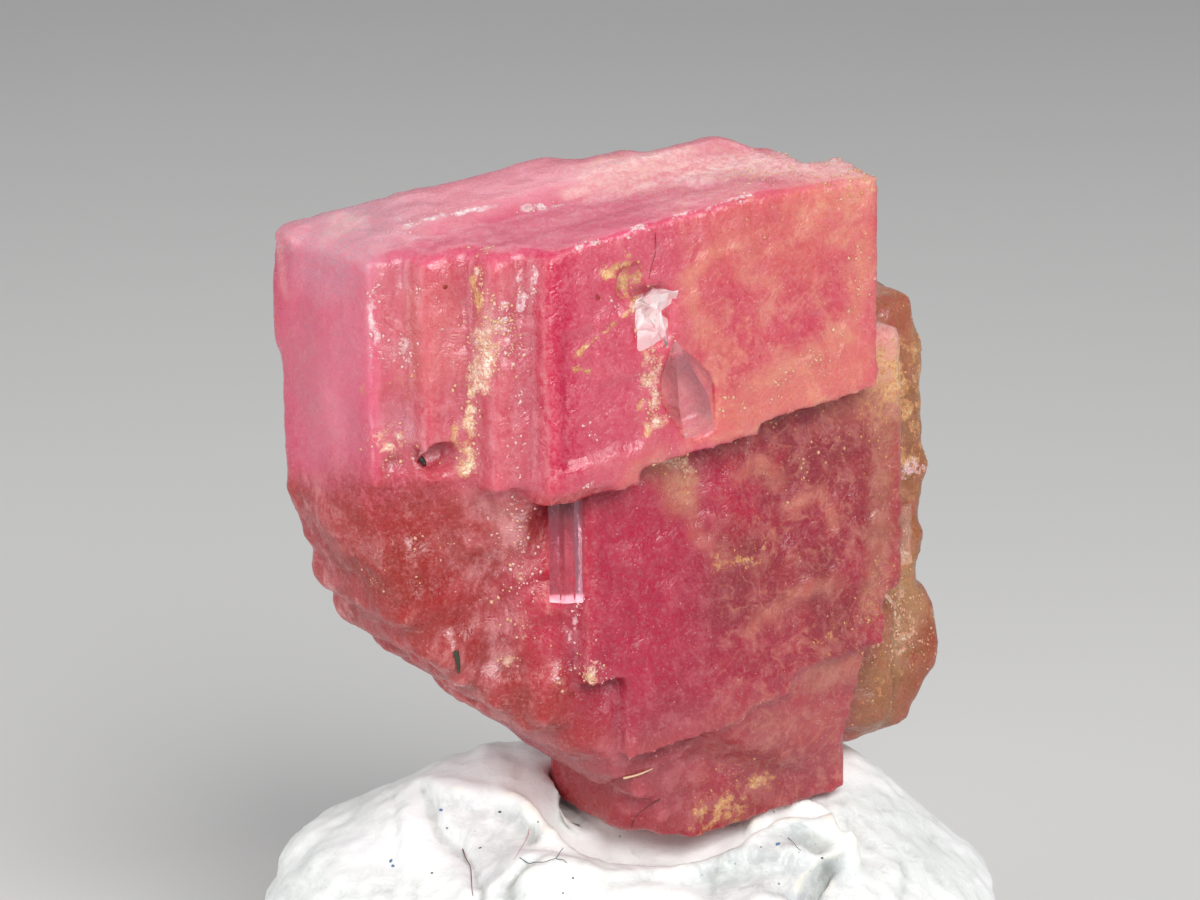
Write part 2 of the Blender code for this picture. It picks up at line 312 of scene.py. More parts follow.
def smooth_path(corners, pieces):
    """Points on a smooth curve through the corners."""
    corners = [Vector(corner) for corner in corners]
    padded = [corners[0] * 2 - corners[1]] + corners + [corners[-1] * 2 - corners[-2]]
    path = []
    for before, start, end, after in zip(padded, padded[1:], padded[2:], padded[3:]):
        for piece in range(pieces):
            share = piece / pieces
            path.append(0.5 * (2 * start + (end - before) * share
                               + (2 * before - 5 * start + 4 * end - after) * share ** 2
                               + (3 * start - before - 3 * end + after) * share ** 3))
    return path + [corners[-1]]


# ---------------- crystal marks
# Each row is (width, strength, path) or (width, strength, path, relief), after its
# pigment in the first table. Strength is in percent, and all else in hundredths of a
# millimetre. Relief lifts the surface, or digs into it where it is negative.

# Crusts that also carry loose grains.
GRAINY_MARKS = (
    # left zone: crusted streaks that run down the steps
    ("cream", 16, 85, [(-58, 95, -35), (-56, 80, -90), (-46, 66, -150)], 2),
    ("cream", 26, 95, [(-80, 68, -120), (-78, 80, -190), (-74, 95, -230)], 2),
    ("cream", 15, 75, [(-78, 110, -260), (-80, 118, -330), (-84, 118, -400)], 2),
    ("cream", 30, 35, [(-60, 70, -80), (-55, 70, -220)]),
    ("ochre", 10, 100, [(-78, 98, -50), (-80, 80, -120)], 1),
    ("ochre", 11, 100, [(-84, 105, -230), (-82, 115, -300), (-86, 118, -410)], 2),
    ("white", 10, 90, [(-50, 60, -90), (-42, 55, -190)], 1),
    ("white", 9, 100, [(-17, 45, -45), (-15, 49, -95)], 1),
    ("white", 10, 100, [(-3, 35, -35), (-2, 40, -80)]),
    ("white", 13, 22, [(-13, 49, -135), (-10, 49, -190)], 1),
    ("white", 16, 25, [(-25, 50, -230), (-20, 50, -290)]),
    ("white", 16, 25, [(-35, 55, -340), (-30, 60, -420)]),
    ("white", 8, 80, [(-175, 174, -150), (-172, 174, -200)]),
    ("white", 7, 70, [(-135, 150, -50), (-132, 150, -160)]),
    ("white", 7, 70, [(-228, 180, -20), (-226, 180, -150)]),
    ("white", 20, 50, [(-210, 180, -170), (-150, 174, -190)]), ("ochre", 14, 60, [(-230, 204, -239)]),
    ("ochre", 18, 40, [(-190, 180, -230), (-160, 170, -260)]),
    ("cream", 26, 60, [(-200, 190, -335), (-160, 170, -345)], 2),
    ("ochre", 10, 70, [(-105, 120, -320), (-100, 120, -390)]),
    # right face of the upper block
    ("ochre", 13, 100, [(120, 0, -66), (162, 5, -62), (174, 10, -85)], 2),
    ("ochre", 26, 80, [(175, 20, -85), (195, 20, -125)]),
    ("cream", 10, 90, [(184, 0, -135), (195, 0, -200), (220, 0, -225)]),
    ("cream", 20, 70, [(210, 0, -230), (210, 0, -300), (216, 0, -360)]),
    ("ochre", 9, 90, [(192, 0, -320), (200, 0, -390)]),
    ("ochre", 6, 100, [(55, 0, -215), (88, 0, -235), (100, 0, -245)]),
    ("ochre", 5, 90, [(60, 0, -195), (105, 0, -170), (172, 0, -140)]),
    ("white", 12, 35, [(115, 0, -110), (150, 0, -130)]),
    ("white", 10, 35, [(75, 0, -300), (100, 0, -380)]),
    ("cream", 15, 25, [(660, 0, -130), (650, 0, -240), (620, 0, -300)]),
    ("cream", 20, 30, [(620, 0, -305), (530, 0, -335), (440, 0, -360), (350, 0, -375)]),
    # broken top right corner and edge flecks
    ("cream", 50, 35, [(460, 110, -5), (570, 80, -20), (660, 35, -35)]),
    ("ochre", 28, 50, [(590, 30, -30), (670, 10, -45)]), ("white", 7, 100, [(55, 2, 0), (75, 2, 0)], 1),
    ("white", 6, 90, [(100, 2, 0), (115, 2, 0)], 1), ("white", 7, 100, [(175, 5, 0), (205, 5, 0)], 1),
    ("white", 6, 80, [(260, 10, 0), (430, 10, 0)]), ("cream", 10, 90, [(-62, 95, 0), (-50, 93, 0)], 1),
    # the step across the top face
    ("white", 10, 90, [(-144, 251, 0), (-31, 262, 0)]), ("white", 8, 100, [(-10, 245, 5), (60, 225, 5)]),
    ("white", 8, 90, [(90, 200, 5), (170, 195, 5)]),
    # under the main ledge and on the lower face
    ("cream", 20, 70, [(230, 20, -425), (290, 75, -470), (343, 75, -490)], 1),
    ("cream", 26, 12, [(300, 75, -460), (450, 75, -470), (560, 75, -460)]),
    ("ochre", 26, 25, [(240, 10, -430), (320, 75, -510), (340, 75, -550)]),
    ("white", 5, 100, [(70, -4, -440), (82, -4, -442)], 1),
    ("ochre", 55, 18, [(460, 75, -500), (600, 75, -530), (740, 75, -560)]),
    ("ochre", 35, 45, [(410, 75, -680), (470, 75, -700)]),
    ("cream", 22, 10, [(530, 75, -600), (660, 75, -540)]),
    ("ochre", 40, 35, [(640, 75, -920), (730, 75, -880), (760, 75, -820)]),
    ("ochre", 34, 70, [(435, 162, -1200), (500, 162, -1210), (540, 162, -1190)]),
    ("white", 10, 60, [(320, 162, -1060)]),
    # third ledge: a crusted patch, white marks, red beside it
    ("cream", 24, 55, [(95, 80, -820), (135, 75, -825)], 1),
    ("white", 20, 35, [(90, 80, -815), (155, 75, -815)]), ("ochre", 12, 100, [(128, 75, -835)]),
    ("white", 5, 100, [(155, 74, -850), (185, 74, -852)], 1),
    ("white", 7, 70, [(130, 100, -700), (128, 125, -775)]), ("cream", 12, 90, [(29, 175, -797)], 1),
    ("cream", 22, 28, [(15, 100, -500), (5, 110, -620), (25, 140, -760)]),
    ("white", 30, 34, [(-10, 110, -490), (30, 95, -560), (10, 120, -660)]),
    # rough left flank
    ("cream", 18, 35, [(-140, 190, -530), (-110, 190, -560)]),
    ("cream", 18, 35, [(-190, 240, -600), (-170, 230, -630)]),
    # crusted right edge
    ("ochre", 90, 70, [(800, 80, -450), (890, 230, -560), (920, 230, -660)]),
    ("ochre", 80, 35, [(810, 185, -1090), (880, 210, -1050), (950, 230, -1010)]),
    ("cream", 45, 50, [(850, 200, -1000), (930, 230, -1030)]),
    ("white", 16, 70, [(910, 225, -710), (960, 225, -710)]),
    ("cream", 25, 70, [(870, 230, -740), (870, 230, -900), (890, 230, -970)]),
)
# The other pigments.
SMOOTH_MARKS = {
    # deep rose along the upper block's left edge and under the ledges
    "magenta": [
     (25, 25, [(-20, 46, -190)]), (34, 100, [(20, 0, -30), (26, 0, -200), (30, 0, -400)]),
     (42, 60, [(38, 0, -260), (45, 0, -360)]),
     (55, 35, [(380, 0, -210), (394, 0, -290), (500, 0, -260)]),
     (50, 40, [(100, 0, -90), (140, 0, -170), (130, 0, -320)]),
     (45, 40, [(460, 0, -60), (530, 0, -160), (580, 0, -210)]),
     (85, 65, [(190, 75, -550), (230, 75, -640), (230, 75, -820)]),
     (40, 60, [(410, 75, -560), (450, 75, -600)]), (70, 25, [(470, 75, -920), (540, 75, -920)]),
     (35, 50, [(690, 75, -780)]), (45, 70, [(50, 150, -660), (80, 140, -780)]),
    ],
    # deep red hollows of the flank and the edge, and painted shade on the tip's shadowed left side
    "red": [
     (55, 100, [(50, 175, -850), (95, 170, -890), (150, 180, -960)]),
     (84, 100, [(-190, 230, -490), (-130, 195, -490), (-90, 190, -520)]),
     (75, 100, [(-150, 220, -600), (-80, 195, -640), (-90, 190, -720)]),
     (40, 100, [(-200, 210, -430), (-130, 190, -440)]),
     (55, 100, [(-180, 210, -560), (-160, 190, -660)]), (45, 90, [(0, 185, -560), (-50, 190, -660)]),
     (50, 90, [(980, 250, -1100), (960, 250, -1180)]),
     # painted shade: the tip's left side and lower corner, deep in shadow, darkened red
     (80, 80, [(260, 320, -1140), (340, 360, -1230)]), (40, 30, [(320, 210, -1220)]),
    ],
    # brown stains of the flank and the lower face
    "brown": [
     (13, 90, [(-195, 180, -375), (-162, 150, -365)], -5), (12, 80, [(-130, 140, -290)], -3),
     (30, 50, [(430, 75, -650), (490, 75, -730), (560, 75, -750)]),
     (45, 50, [(690, 75, -590), (730, 75, -680)]), (55, 40, [(560, 75, -790), (660, 75, -840)]),
     (28, 50, [(450, 162, -1220), (520, 162, -1230)]), (5, 100, [(86, 80, -845), (90, 80, -850)], -2),
     (45, 35, [(-226, 260, -460), (-200, 220, -500), (-170, 210, -560)]),
     (40, 25, [(-100, 195, -510), (-60, 190, -580)]), (35, 45, [(-50, 190, -720), (0, 185, -780)]),
     (40, 60, [(0, 180, -840), (60, 170, -880)]),
     (42, 75, [(-175, 280, -580), (-180, 220, -570), (-160, 200, -620)]),
     (35, 40, [(-110, 210, -730)]), (35, 40, [(-190, 200, -440), (-150, 190, -450)]),
     (22, 70, [(-220, 250, -430), (-190, 210, -440)]),
    ],
    # soft white growth over the flank, and thin lines along the facet
    "pale": [
     (45, 80, [(-20, 130, -480), (10, 110, -560), (0, 140, -610)]),
     (28, 55, [(-90, 190, -740), (-30, 190, -840)]), (60, 70, [(-120, 450, -730), (-120, 400, -740)]),
     (40, 60, [(-60, 190, -560), (-20, 180, -630)]), (25, 50, [(-20, 180, -660), (10, 180, -740)]),
     (30, 40, [(-230, 340, -460), (-210, 300, -520)]),
     (5, 60, [(-5, -4, -408), (100, -4, -410), (190, 0, -402)], 2),
     (5, 40, [(-5, -4, -470), (185, -4, -470)]), (22, 70, [(40, 160, -700), (10, 180, -820)]),
    ],
    # salmon veins and clouds of the right-hand faces
    "salmon": [
     (45, 40, [(-140, 150, -90), (-140, 150, -200)]),
     (16, 90, [(285, 0, -120), (340, 0, -80), (460, 0, -75), (560, 0, -90)]),
     (12, 90, [(290, 0, -120), (300, 0, -180), (330, 0, -240), (390, 0, -290)]),
     (20, 100, [(660, 0, -130), (650, 0, -240), (620, 0, -300)]),
     (26, 100, [(620, 0, -305), (530, 0, -335), (440, 0, -360), (350, 0, -375)]),
     (14, 80, [(390, 0, -130), (440, 0, -110), (520, 0, -130), (550, 0, -200)]),
     (40, 90, [(630, 0, -370), (460, 0, -390), (390, 0, -395)]),
     (25, 80, [(170, 0, -445), (220, 0, -440)]), (60, 55, [(420, 0, -70), (540, 0, -110)]),
     (50, 80, [(520, 0, -45), (640, 0, -60)]), (40, 50, [(660, 75, -460), (730, 75, -490)]),
     (14, 60, [(340, 75, -510), (350, 75, -620), (420, 75, -700)]),
     (12, 80, [(440, 75, -550), (490, 75, -530), (530, 75, -580)]),
     (12, 80, [(550, 75, -630), (620, 75, -620), (650, 75, -690)]),
     (14, 70, [(470, 75, -830), (560, 75, -800), (660, 75, -800)]),
     (30, 30, [(540, 120, -1040), (680, 150, -1100)]),
    ],
    # cool veils of the left-hand and top faces
    "lilac": [
     (70, 35, [(-232, 360, -220), (-232, 300, -340)]), (50, 35, [(-232, 240, -90), (-232, 260, -190)]),
     (26, 35, [(-200, 185, -290), (-160, 170, -320)]), (90, 90, [(-210, 300, 0), (-140, 390, 0)]),
     (50, 50, [(-130, 480, 0), (-60, 460, 0)], -14), (35, 50, [(-230, 430, 0), (-230, 480, 0)], 12),
     (30, 80, [(-230, 200, 0), (-230, 460, -20)]),
    ],
    # tan rims of the crusted right edge
    "sand": [
     (28, 60, [(240, 50, -460), (300, 75, -490), (330, 75, -550)]),
     (30, 25, [(630, 100, -980), (720, 120, -990)]),
     (22, 36, [(755, 75, -450), (750, 75, -650), (730, 75, -860)]),
     (30, 80, [(790, 120, -490), (800, 130, -630)]), (50, 90, [(770, 75, -440), (840, 140, -520)]),
     (26, 90, [(950, 250, -460), (990, 260, -640), (1000, 260, -700)]),
     (35, 70, [(890, 230, -880), (930, 230, -980), (860, 210, -1060)]),
    ],
    # dark hollows of the crusted right edge and the flank
    "umber": [
     (25, 30, [(-180, 200, -550), (-160, 195, -610)]), (30, 20, [(-90, 200, -720), (-40, 195, -790)]),
     (40, 60, [(870, 220, -580), (900, 230, -660)]), (50, 90, [(790, 185, -1090), (850, 190, -1150)]),
    ],
    # bright broken edges and the step across the top
    "shell": [
     (16, 50, [(-80, 68, -120), (-78, 80, -190), (-74, 95, -230)]),
     (50, 90, [(420, 160, 0), (500, 150, 0), (570, 110, 0), (650, 70, -10)]),
     (50, 80, [(260, 220, 5), (400, 200, 5)]), (12, 90, [(190, 210, 5), (460, 195, 5)]),
     (30, 90, [(320, 240, 8), (440, 230, 8)]), (25, 60, [(-190, 340, 0), (-160, 360, 0)]),
     (40, 25, [(300, 70, 0), (440, 70, 0)]),
     (22, 35, [(-60, 150, -450), (-10, 120, -510), (10, 110, -570)]),
     (12, 35, [(-232, 460, -40), (-232, 430, -120)]), (50, 80, [(800, 90, -380), (820, 120, -460)]),
    ],
}
# How many loose grains a square millimetre of each crust carries.
GRAIN_DENSITY = {"cream": 620, "ochre": 160, "white": 560}
PIGMENTS = (*GRAIN_DENSITY, *SMOOTH_MARKS)


def crystal_marks():
    """Every mark as (pigment, width, strength, path, relief), in millimetres and shares."""
    rows = list(GRAINY_MARKS)
    for pigment, marks in SMOOTH_MARKS.items():
        rows += [(pigment, *mark) for mark in marks]
    for pigment, width, strength, path, *relief in rows:
        path = [tuple(part / 100 for part in corner) for corner in path]
        yield pigment, width / 100, strength / 100, path, sum(relief) / 100


# ---------------- crystal
# Measures are the places r, l and v, how squarely the surface faces along each, how
# squarely it looks towards +Y, and the regions named here. region() says how rows work.

REGIONS = {
    "left": (("facing r", -0.3, -0.7), ("r", -1.6, -1.9), ("v", -6, -4)),
    "striated": (("r", -3.15, -3), ("r", 0.15, 0), ("v", -4.6, -4)),
    "flank": (("r", 1.5, 0.8), ("v", -4.2, -4.9)),
    "crust": (("r", 7.5, 8.3), ("l", 0.3, 1.5)),
    "lower": (("r", 0.6, 1.4), ("v", -4.45, -4.75), ("r", 8.2, 7.4)),
    "tip": (("v", -9.3, -9.9), ("r", 8, 7)),
    "mottled": (("r", 3.3, 4.6), ("v", -4.2, -4.5)),
    "veined": (("r", 2.4, 3.2), ("v", -4.4, -4.2)),
    "back": (("facing back", 0.15, 0.5),),
    "top": (("v", -0.4, -0.2), ("facing v", 0.35, 0.75)),
    # the top's back band, where a pale paint stands in for the glare on it
    "top back sheen": ("top", ("l", 1.8, 2.2)),
}
# How much of its striation the left face loses.
LEFT_UNSTRIATED = 0.8
# Where the steps of the lattice are worn into soft lumps.
WORN = (
    ("flank",),
    ("crust",),
    # the stair down the left-hand side
    (("r", 3, 2.4), ("l", 1.1, 1.4), ("v", -8.6, -9)),
    # the left-hand columns
    (0.16, "striated"),
    # the heel beside the tip
    (0.4, ("r", 3.5, 3.2), ("l", 1.9, 2.3), ("v", -11, -11.4)),
    (0.7, "back", ("l", 2.5, 3.5)),
    # the brow along the top's back edge, and the shoulder at its left
    (("v", -0.8, -0.5), ("l", 1.9, 2.5), ("r", -2, -0.6, 0.3, 0.8)),
    (("r", -1.8, -2.1), ("l", 1.3, 3.2), ("v", -1.2, -0.4, 0.8, 0.3)),
)
WEAR_SHARE = 0.5
WEAR_ROUNDS = 60
# Worn places swell back this far, but not by the prism nor just under the steps.
WEAR_SWELL = 0.17
UNSWOLLEN = (
    (("r", -0.8, 0), ("r", 3.8, 3), ("v", -8.4, -8), ("v", -3.8, -4.2)),
    (("r", 3.5, 2.5), ("l", 3.2, 2.2), ("v", -6.4, -4.6), ("v", -2, -3)),
)

# Low growth plates on the main faces: (edge the face looks along, its level,
# spans of the other two edges in the order r, l, v, how many).
PLATED_FACES = (
    ("l", 0, (0.1, 6.6), (-4.1, -0.1), 26),
    ("l", 0.75, (1.2, 7.4), (-9.4, -4.8), 30),
    ("l", 1.62, (2.6, 7.2), (-12.2, -9.8), 10),
    ("r", -2.3, (2, 6), (-4.4, -0.2), 14),
    ("v", 0, (-2.2, 6.4), (0.4, 5.6), 20),
    ("l", 1.74, (-2.2, -1.4), (-4, -0.3), 6),
    ("l", 1.2, (-1.5, -0.8), (-4, -0.3), 6),
    ("l", 0.5, (-0.7, 0), (-4.2, -0.3), 8),
    ("l", 2.3, (8, 9.4), (-11.5, -4.2), 8),
)
PLATE_SIZE = (0.5, 2.4)
PLATE_HEIGHT = (-0.020, 0.024)
PLATE_SOFT = 0.05
# How far a place may lie from a plate's level, and how squarely it must face along
# its edge, to be on it: (none there, all there).
PLATE_GAP = (0.40, 0.25)
PLATE_FACING = (0.85, 0.97)
# The cracked plate left of the quartz.
OWN_PLATES = (
    ("l", 0, (0.3, 1.85), (-3.9, -1.55), -0.07),
    ("l", 0, (0.95, 1.85), (-2.6, -1.45), 0.07),
)
CROSS_EDGES = {"r": "lv", "l": "rv", "v": "rl"}
# The slanting facet along the foot of the main ledge.
FACET = (("v", -4.9, -4.7), ("r", -0.17, -0.05), ("r", 2.07, 1.95), ("facing l", 0.0, -0.5))
FACET_TOP = -4.08
FACET_FOOT = -4.74
FACET_DEPTH = 0.10

# Noise of the fine surface: (scale, offset, octaves).
RELIEF_SHIFT = np.array((4.2, 9.1, 1.7))
RELIEF_NOISES = {
    "swell": (0.9, 0, 1),
    "ripple": (2, 0, 1),
    "grain": (4, 0, 2),
    "ribs": ((2.6, 2.6, 0.4), 0, 1),
    "lumps": (1.1, 3, 1),
    "pebbles": (2.6, 6, 1),
    "crumbs": (5.5, 9, 2),
}
# How high each noise stands in each region.
RELIEF = (
    ("everywhere", {"swell": 0.024, "ripple": 0.0128, "grain": 0.005}),
    ("striated", {"ribs": 0.03, "pebbles": 0.022, "crumbs": 0.014}),
    ("flank", {"lumps": 0.09, "pebbles": 0.042, "crumbs": 0.026}),
    ("crust", {"lumps": 0.07, "pebbles": 0.015}),
    ("mottled", {"pebbles": 0.018}),
    ("veined", {"pebbles": 0.01}),
    ("back", {"lumps": 0.05, "pebbles": 0.02}),
)

# The finished relief is softened a little: (share, rounds).
RELIEF_SOFTENING = (0.4, 2)

# Marks and regions have wavy borders: (how far, scale, offset) of two noises on each axis.
BORDER_WAVES = ((0.10, 1.7, (3.0, 7.0)), (0.05, 4.5, (1.0, 2.0)))
BORDER_OFFSETS = (11.0, 23.0, 37.0)
# The share of those borders that the growth plates take.
PLATE_WAVES = 0.35
# Grainy marks are broken into patches: mean, scale, offset, least and most.
PATCH_MEAN = 0.68
PATCH_SCALE = 3.4
PATCH_OFFSET = np.array((6.0, 1.0, 8.0))
PATCH_LIMITS = (0.1, 0.9)
# A mark's colour and relief fade between these multiples of its width.
MARK_FADE = (2.0, 0.3)
MARK_RELIEF_FADE = (1.3, 0.4)


def crystal_measures(places, normals):
    """The measures that regions are made of, at places (r, l, v), with the regions."""
    gradients = np.array(LATTICE_INVERSE)[:3, :3]
    facing = normals @ (gradients / np.linalg.norm(gradients, axis=1)[:, None]).T
    measures = {"facing back": normals[:, 1], "everywhere": 1.0}
    for edge, place, square in zip("rlv", places.T, facing.T):
        measures[edge], measures["facing " + edge] = place, square
    for name, limits in REGIONS.items():
        measures[name] = region(measures, *limits)
    measures["striated"] = measures["striated"] * (1.0 - LEFT_UNSTRIATED * measures["left"])
    return measures


def plates(chance):
    """Every plate: (edge, level, first span, second span, height)."""
    found = list(OWN_PLATES)
    for edge, level, first_span, second_span, count in PLATED_FACES:
        for _ in range(count):
            spans = []
            for low, high in (first_span, second_span):
                start = chance.uniform(low, high)
                spans.append((start, start + chance.uniform(*PLATE_SIZE)))
            found.append((edge, level, *spans, chance.uniform(*PLATE_HEIGHT)))
    return found


def plate_relief(measures, chance):
    """Height of the low growth plates and of the facet under the main ledge."""
    slope = np.clip((FACET_TOP - measures["v"]) / (FACET_TOP - FACET_FOOT), 0.0, 1.0)
    height = -FACET_DEPTH * slope * region(measures, *FACET)
    for edge, level, *spans, lift in plates(chance):
        near = step(*PLATE_GAP, np.abs(measures[edge] - level))
        near = near * step(*PLATE_FACING, np.abs(measures["facing " + edge]))
        for cross, span in zip(CROSS_EDGES[edge], spans):
            near = near * between(*span, PLATE_SOFT, measures[cross])
        height += lift * near
    return height


def crystal_relief(places, measures):
    """Height of the fine surface over the smooth blocks."""
    fields = {name: noise_field(places, scale, RELIEF_SHIFT + offset, octaves)
              for name, (scale, offset, octaves) in RELIEF_NOISES.items()}
    return sum(measures[name] * sum(lift * fields[field] for field, lift in lifts.items())
               for name, lifts in RELIEF)


# Corners where growth has run over a step, each the hull of these places.
OVERGROWN = (
    # below the columns, sloping back to the flank
    [(-1.9, 1.72, -3.95), (-1.15, 1.3, -3.95), (-0.6, 1, -3.95), (0.42, 0.72, -4.5),
     (-1.9, 2.05, -4.7), (-1.2, 1.97, -5.2), (-0.6, 1.95, -5.7), (0, 1.75, -6.1),
     (0.55, 1.2, -5.9), (0.55, 2.8, -5.9), (0.42, 2.8, -4.5),
     (-1.9, 2.8, -3.95), (-0.05, 2.8, -4.05), (-1.9, 2.8, -4.7), (0, 2.8, -6.1)],
    # right-hand end of the lowest ledge
    [(4, 0.95, -10.15), (7.45, 0.78, -8.9), (3.6, 1.63, -10.7), (7.1, 1.63, -12.2),
     (4, 2.2, -10.15), (7.45, 2.2, -8.9), (7.1, 2.2, -12.2)],
    # lower corner of the tip
    [(3.15, 1.64, -11.2), (4.6, 1.64, -11.2), (4.3, 1.64, -12.45), (3.6, 1.7, -12.35),
     (3.08, 2.2, -12.1), (3.08, 2.4, -11.2), (3.3, 3, -11.2), (4.6, 3, -11.2),
     (4.4, 3, -12.4), (3.4, 3, -12.3)],
)


def overgrow(thing):
    """Adds the overgrown corners to the crystal's blocks, before they are made one skin."""
    with editing(thing.data) as shape:
        for corners in OVERGROWN:
            vertices = [shape.verts.new(LATTICE @ Vector(corner)) for corner in corners]
            bmesh.ops.convex_hull(shape, input=vertices)


def crystal_piece(chance):
    """The rhodochrosite with its fine relief and its pigments as named layers."""
    thing = node_copy("rhodochrosite_crystal", "rhodochrosite")
    overgrow(thing)
    remesh(thing, CRYSTAL_VOXEL, CRYSTAL_ROUNDING)
    mesh = thing.data
    points, normals = vertex_arrays(mesh)
    neighbours = Neighbours(mesh)
    inverse = np.array(LATTICE_INVERSE)
    places = points @ inverse[:3, :3].T + inverse[:3, 3]
    measures = crystal_measures(places, normals)
    worn = np.maximum.reduce([region(measures, *limits) for limits in WORN])
    kept_back = np.maximum.reduce([region(measures, *limits) for limits in UNSWOLLEN])
    points, normals = moved(mesh, relaxed(points, neighbours, WEAR_SHARE * worn, WEAR_ROUNDS))
    waves = np.stack([sum(far * noise_field(places, scale, np.array((first, *offset)))
                          for far, scale, offset in BORDER_WAVES) for first in BORDER_OFFSETS], axis=1)
    measures = crystal_measures(places + waves, normals)
    height = crystal_relief(places, measures) + WEAR_SWELL * worn * (1.0 - kept_back)
    height = height + plate_relief(crystal_measures(places + PLATE_WAVES * waves, normals), chance)
    layers = {pigment: np.zeros(len(points)) for pigment in PIGMENTS}
    patches = PATCH_MEAN + noise_field(places, PATCH_SCALE, PATCH_OFFSET, 2)
    patchy = {True: np.clip(patches, *PATCH_LIMITS), False: 1.0}
    for pigment, width, strength, path, relief in crystal_marks():
        gap = distance_to_path(places + waves, path) / width
        share = strength * patchy[pigment in GRAIN_DENSITY] * step(*MARK_FADE, gap)
        layers[pigment] = np.maximum(layers[pigment], share)
        height = height + relief * step(*MARK_RELIEF_FADE, gap)
    layers.update((name, measures[name]) for name in REGIONS)
    soft, rounds = RELIEF_SOFTENING
    points = relaxed(points + normals * height[:, None], neighbours, np.full(len(points), soft), rounds)
    layers["edge"] = convexity(*moved(mesh, points), neighbours)
    layers["place"] = places
    for name, values in layers.items():
        add_layer(mesh, name, values)
    return thing


# ---------------- crust grains

# Grains lie this many mark widths off the mark's path, and in clumps.
GRAIN_SPREAD = 0.85
CLUMP_SCALE = 2.8
CLUMP_LIMIT = 0.25
# Least size, how much more the largest has, and how rare the large ones are.
GRAIN_SIZE = 0.008
GRAIN_MORE = 0.034
GRAIN_RARITY = 3
# Single grains all over, within these spans of r, l and v.
LONE_GRAINS = 900
LONE_SPANS = ((-2.4, 8.5), (-0.2, 3.0), (-12.5, 0.2))
LONE_PIGMENTS = ("white", "white", "cream")
LONE_SIZE = (0.006, 0.014)
# A grain sticks only this near to the crystal, and above the putty.
GRAIN_REACH = 0.8
GRAIN_LOWEST = 6.0
GRAIN_LONG = (0.8, 1.7)
GRAIN_FLAT = (0.5, 0.9)
GRAIN_JITTER = (0.7, 1.15)
# A grain's tone is its pigment's number and up to this much more.
GRAIN_TONES = 0.5


def grain_spots(chance):
    """(place, pigment, size) of every crust grain, thicker along the marks."""
    spots = []
    for pigment, width, strength, path, _ in crystal_marks():
        if pigment not in GRAIN_DENSITY:
            continue
        area = 2.0 * width * sum(side_lengths(path)) + math.pi * width * width
        for _ in range(int(area * GRAIN_DENSITY[pigment] * strength)):
            place = path_point(path, chance.random())
            place = place + Vector([chance.gauss(0.0, GRAIN_SPREAD * width) for _ in range(3)])
            if noise.noise(place * CLUMP_SCALE) > chance.uniform(-CLUMP_LIMIT, CLUMP_LIMIT):
                size = GRAIN_SIZE + GRAIN_MORE * chance.random() ** GRAIN_RARITY
                spots.append((place, pigment, size))
    for _ in range(LONE_GRAINS):
        place = Vector([chance.uniform(*span) for span in LONE_SPANS])
        spots.append((place, chance.choice(LONE_PIGMENTS), chance.uniform(*LONE_SIZE)))
    return spots


OCTAHEDRON = ((1, 0, 0), (0, 1, 0), (-1, 0, 0), (0, -1, 0), (0, 0, 1), (0, 0, -1))
OCTAHEDRON_FACES = ((0, 1, 4), (1, 2, 4), (2, 3, 4), (3, 0, 4), (1, 0, 5), (2, 1, 5), (3, 2, 5), (0, 3, 5))


def grains_piece(crystal, chance):
    """Loose-looking grains of cream, ochre and white stuck on the crystal."""
    tree = surface_tree(crystal)
    points, faces, tones = [], [], []
    for place, pigment, size in grain_spots(chance):
        spot, normal, _, gap = tree.find_nearest(LATTICE @ place)
        if gap > GRAIN_REACH or spot.z < GRAIN_LOWEST:
            continue
        spin = Matrix.Rotation(chance.uniform(0.0, math.tau), 3, "Z").to_quaternion()
        turn = normal.to_track_quat("Z", "Y") @ spin
        stretch = Vector((size * chance.uniform(*GRAIN_LONG), size, size * chance.uniform(*GRAIN_FLAT)))
        first = len(points)
        for corner in OCTAHEDRON:
            local = Vector(corner) * stretch * chance.uniform(*GRAIN_JITTER)
            points.append(spot + turn @ local)
        faces += [tuple(first + index for index in face) for face in OCTAHEDRON_FACES]
        tones += [PIGMENTS.index(pigment) + GRAIN_TONES * chance.random()] * len(OCTAHEDRON)
    mesh = bpy.data.meshes.new("crust_grains")
    mesh.from_pydata(points, [], faces)
    add_layer(mesh, "tone", tones)
    return link("crust_grains", mesh)


# ---------------- node helper

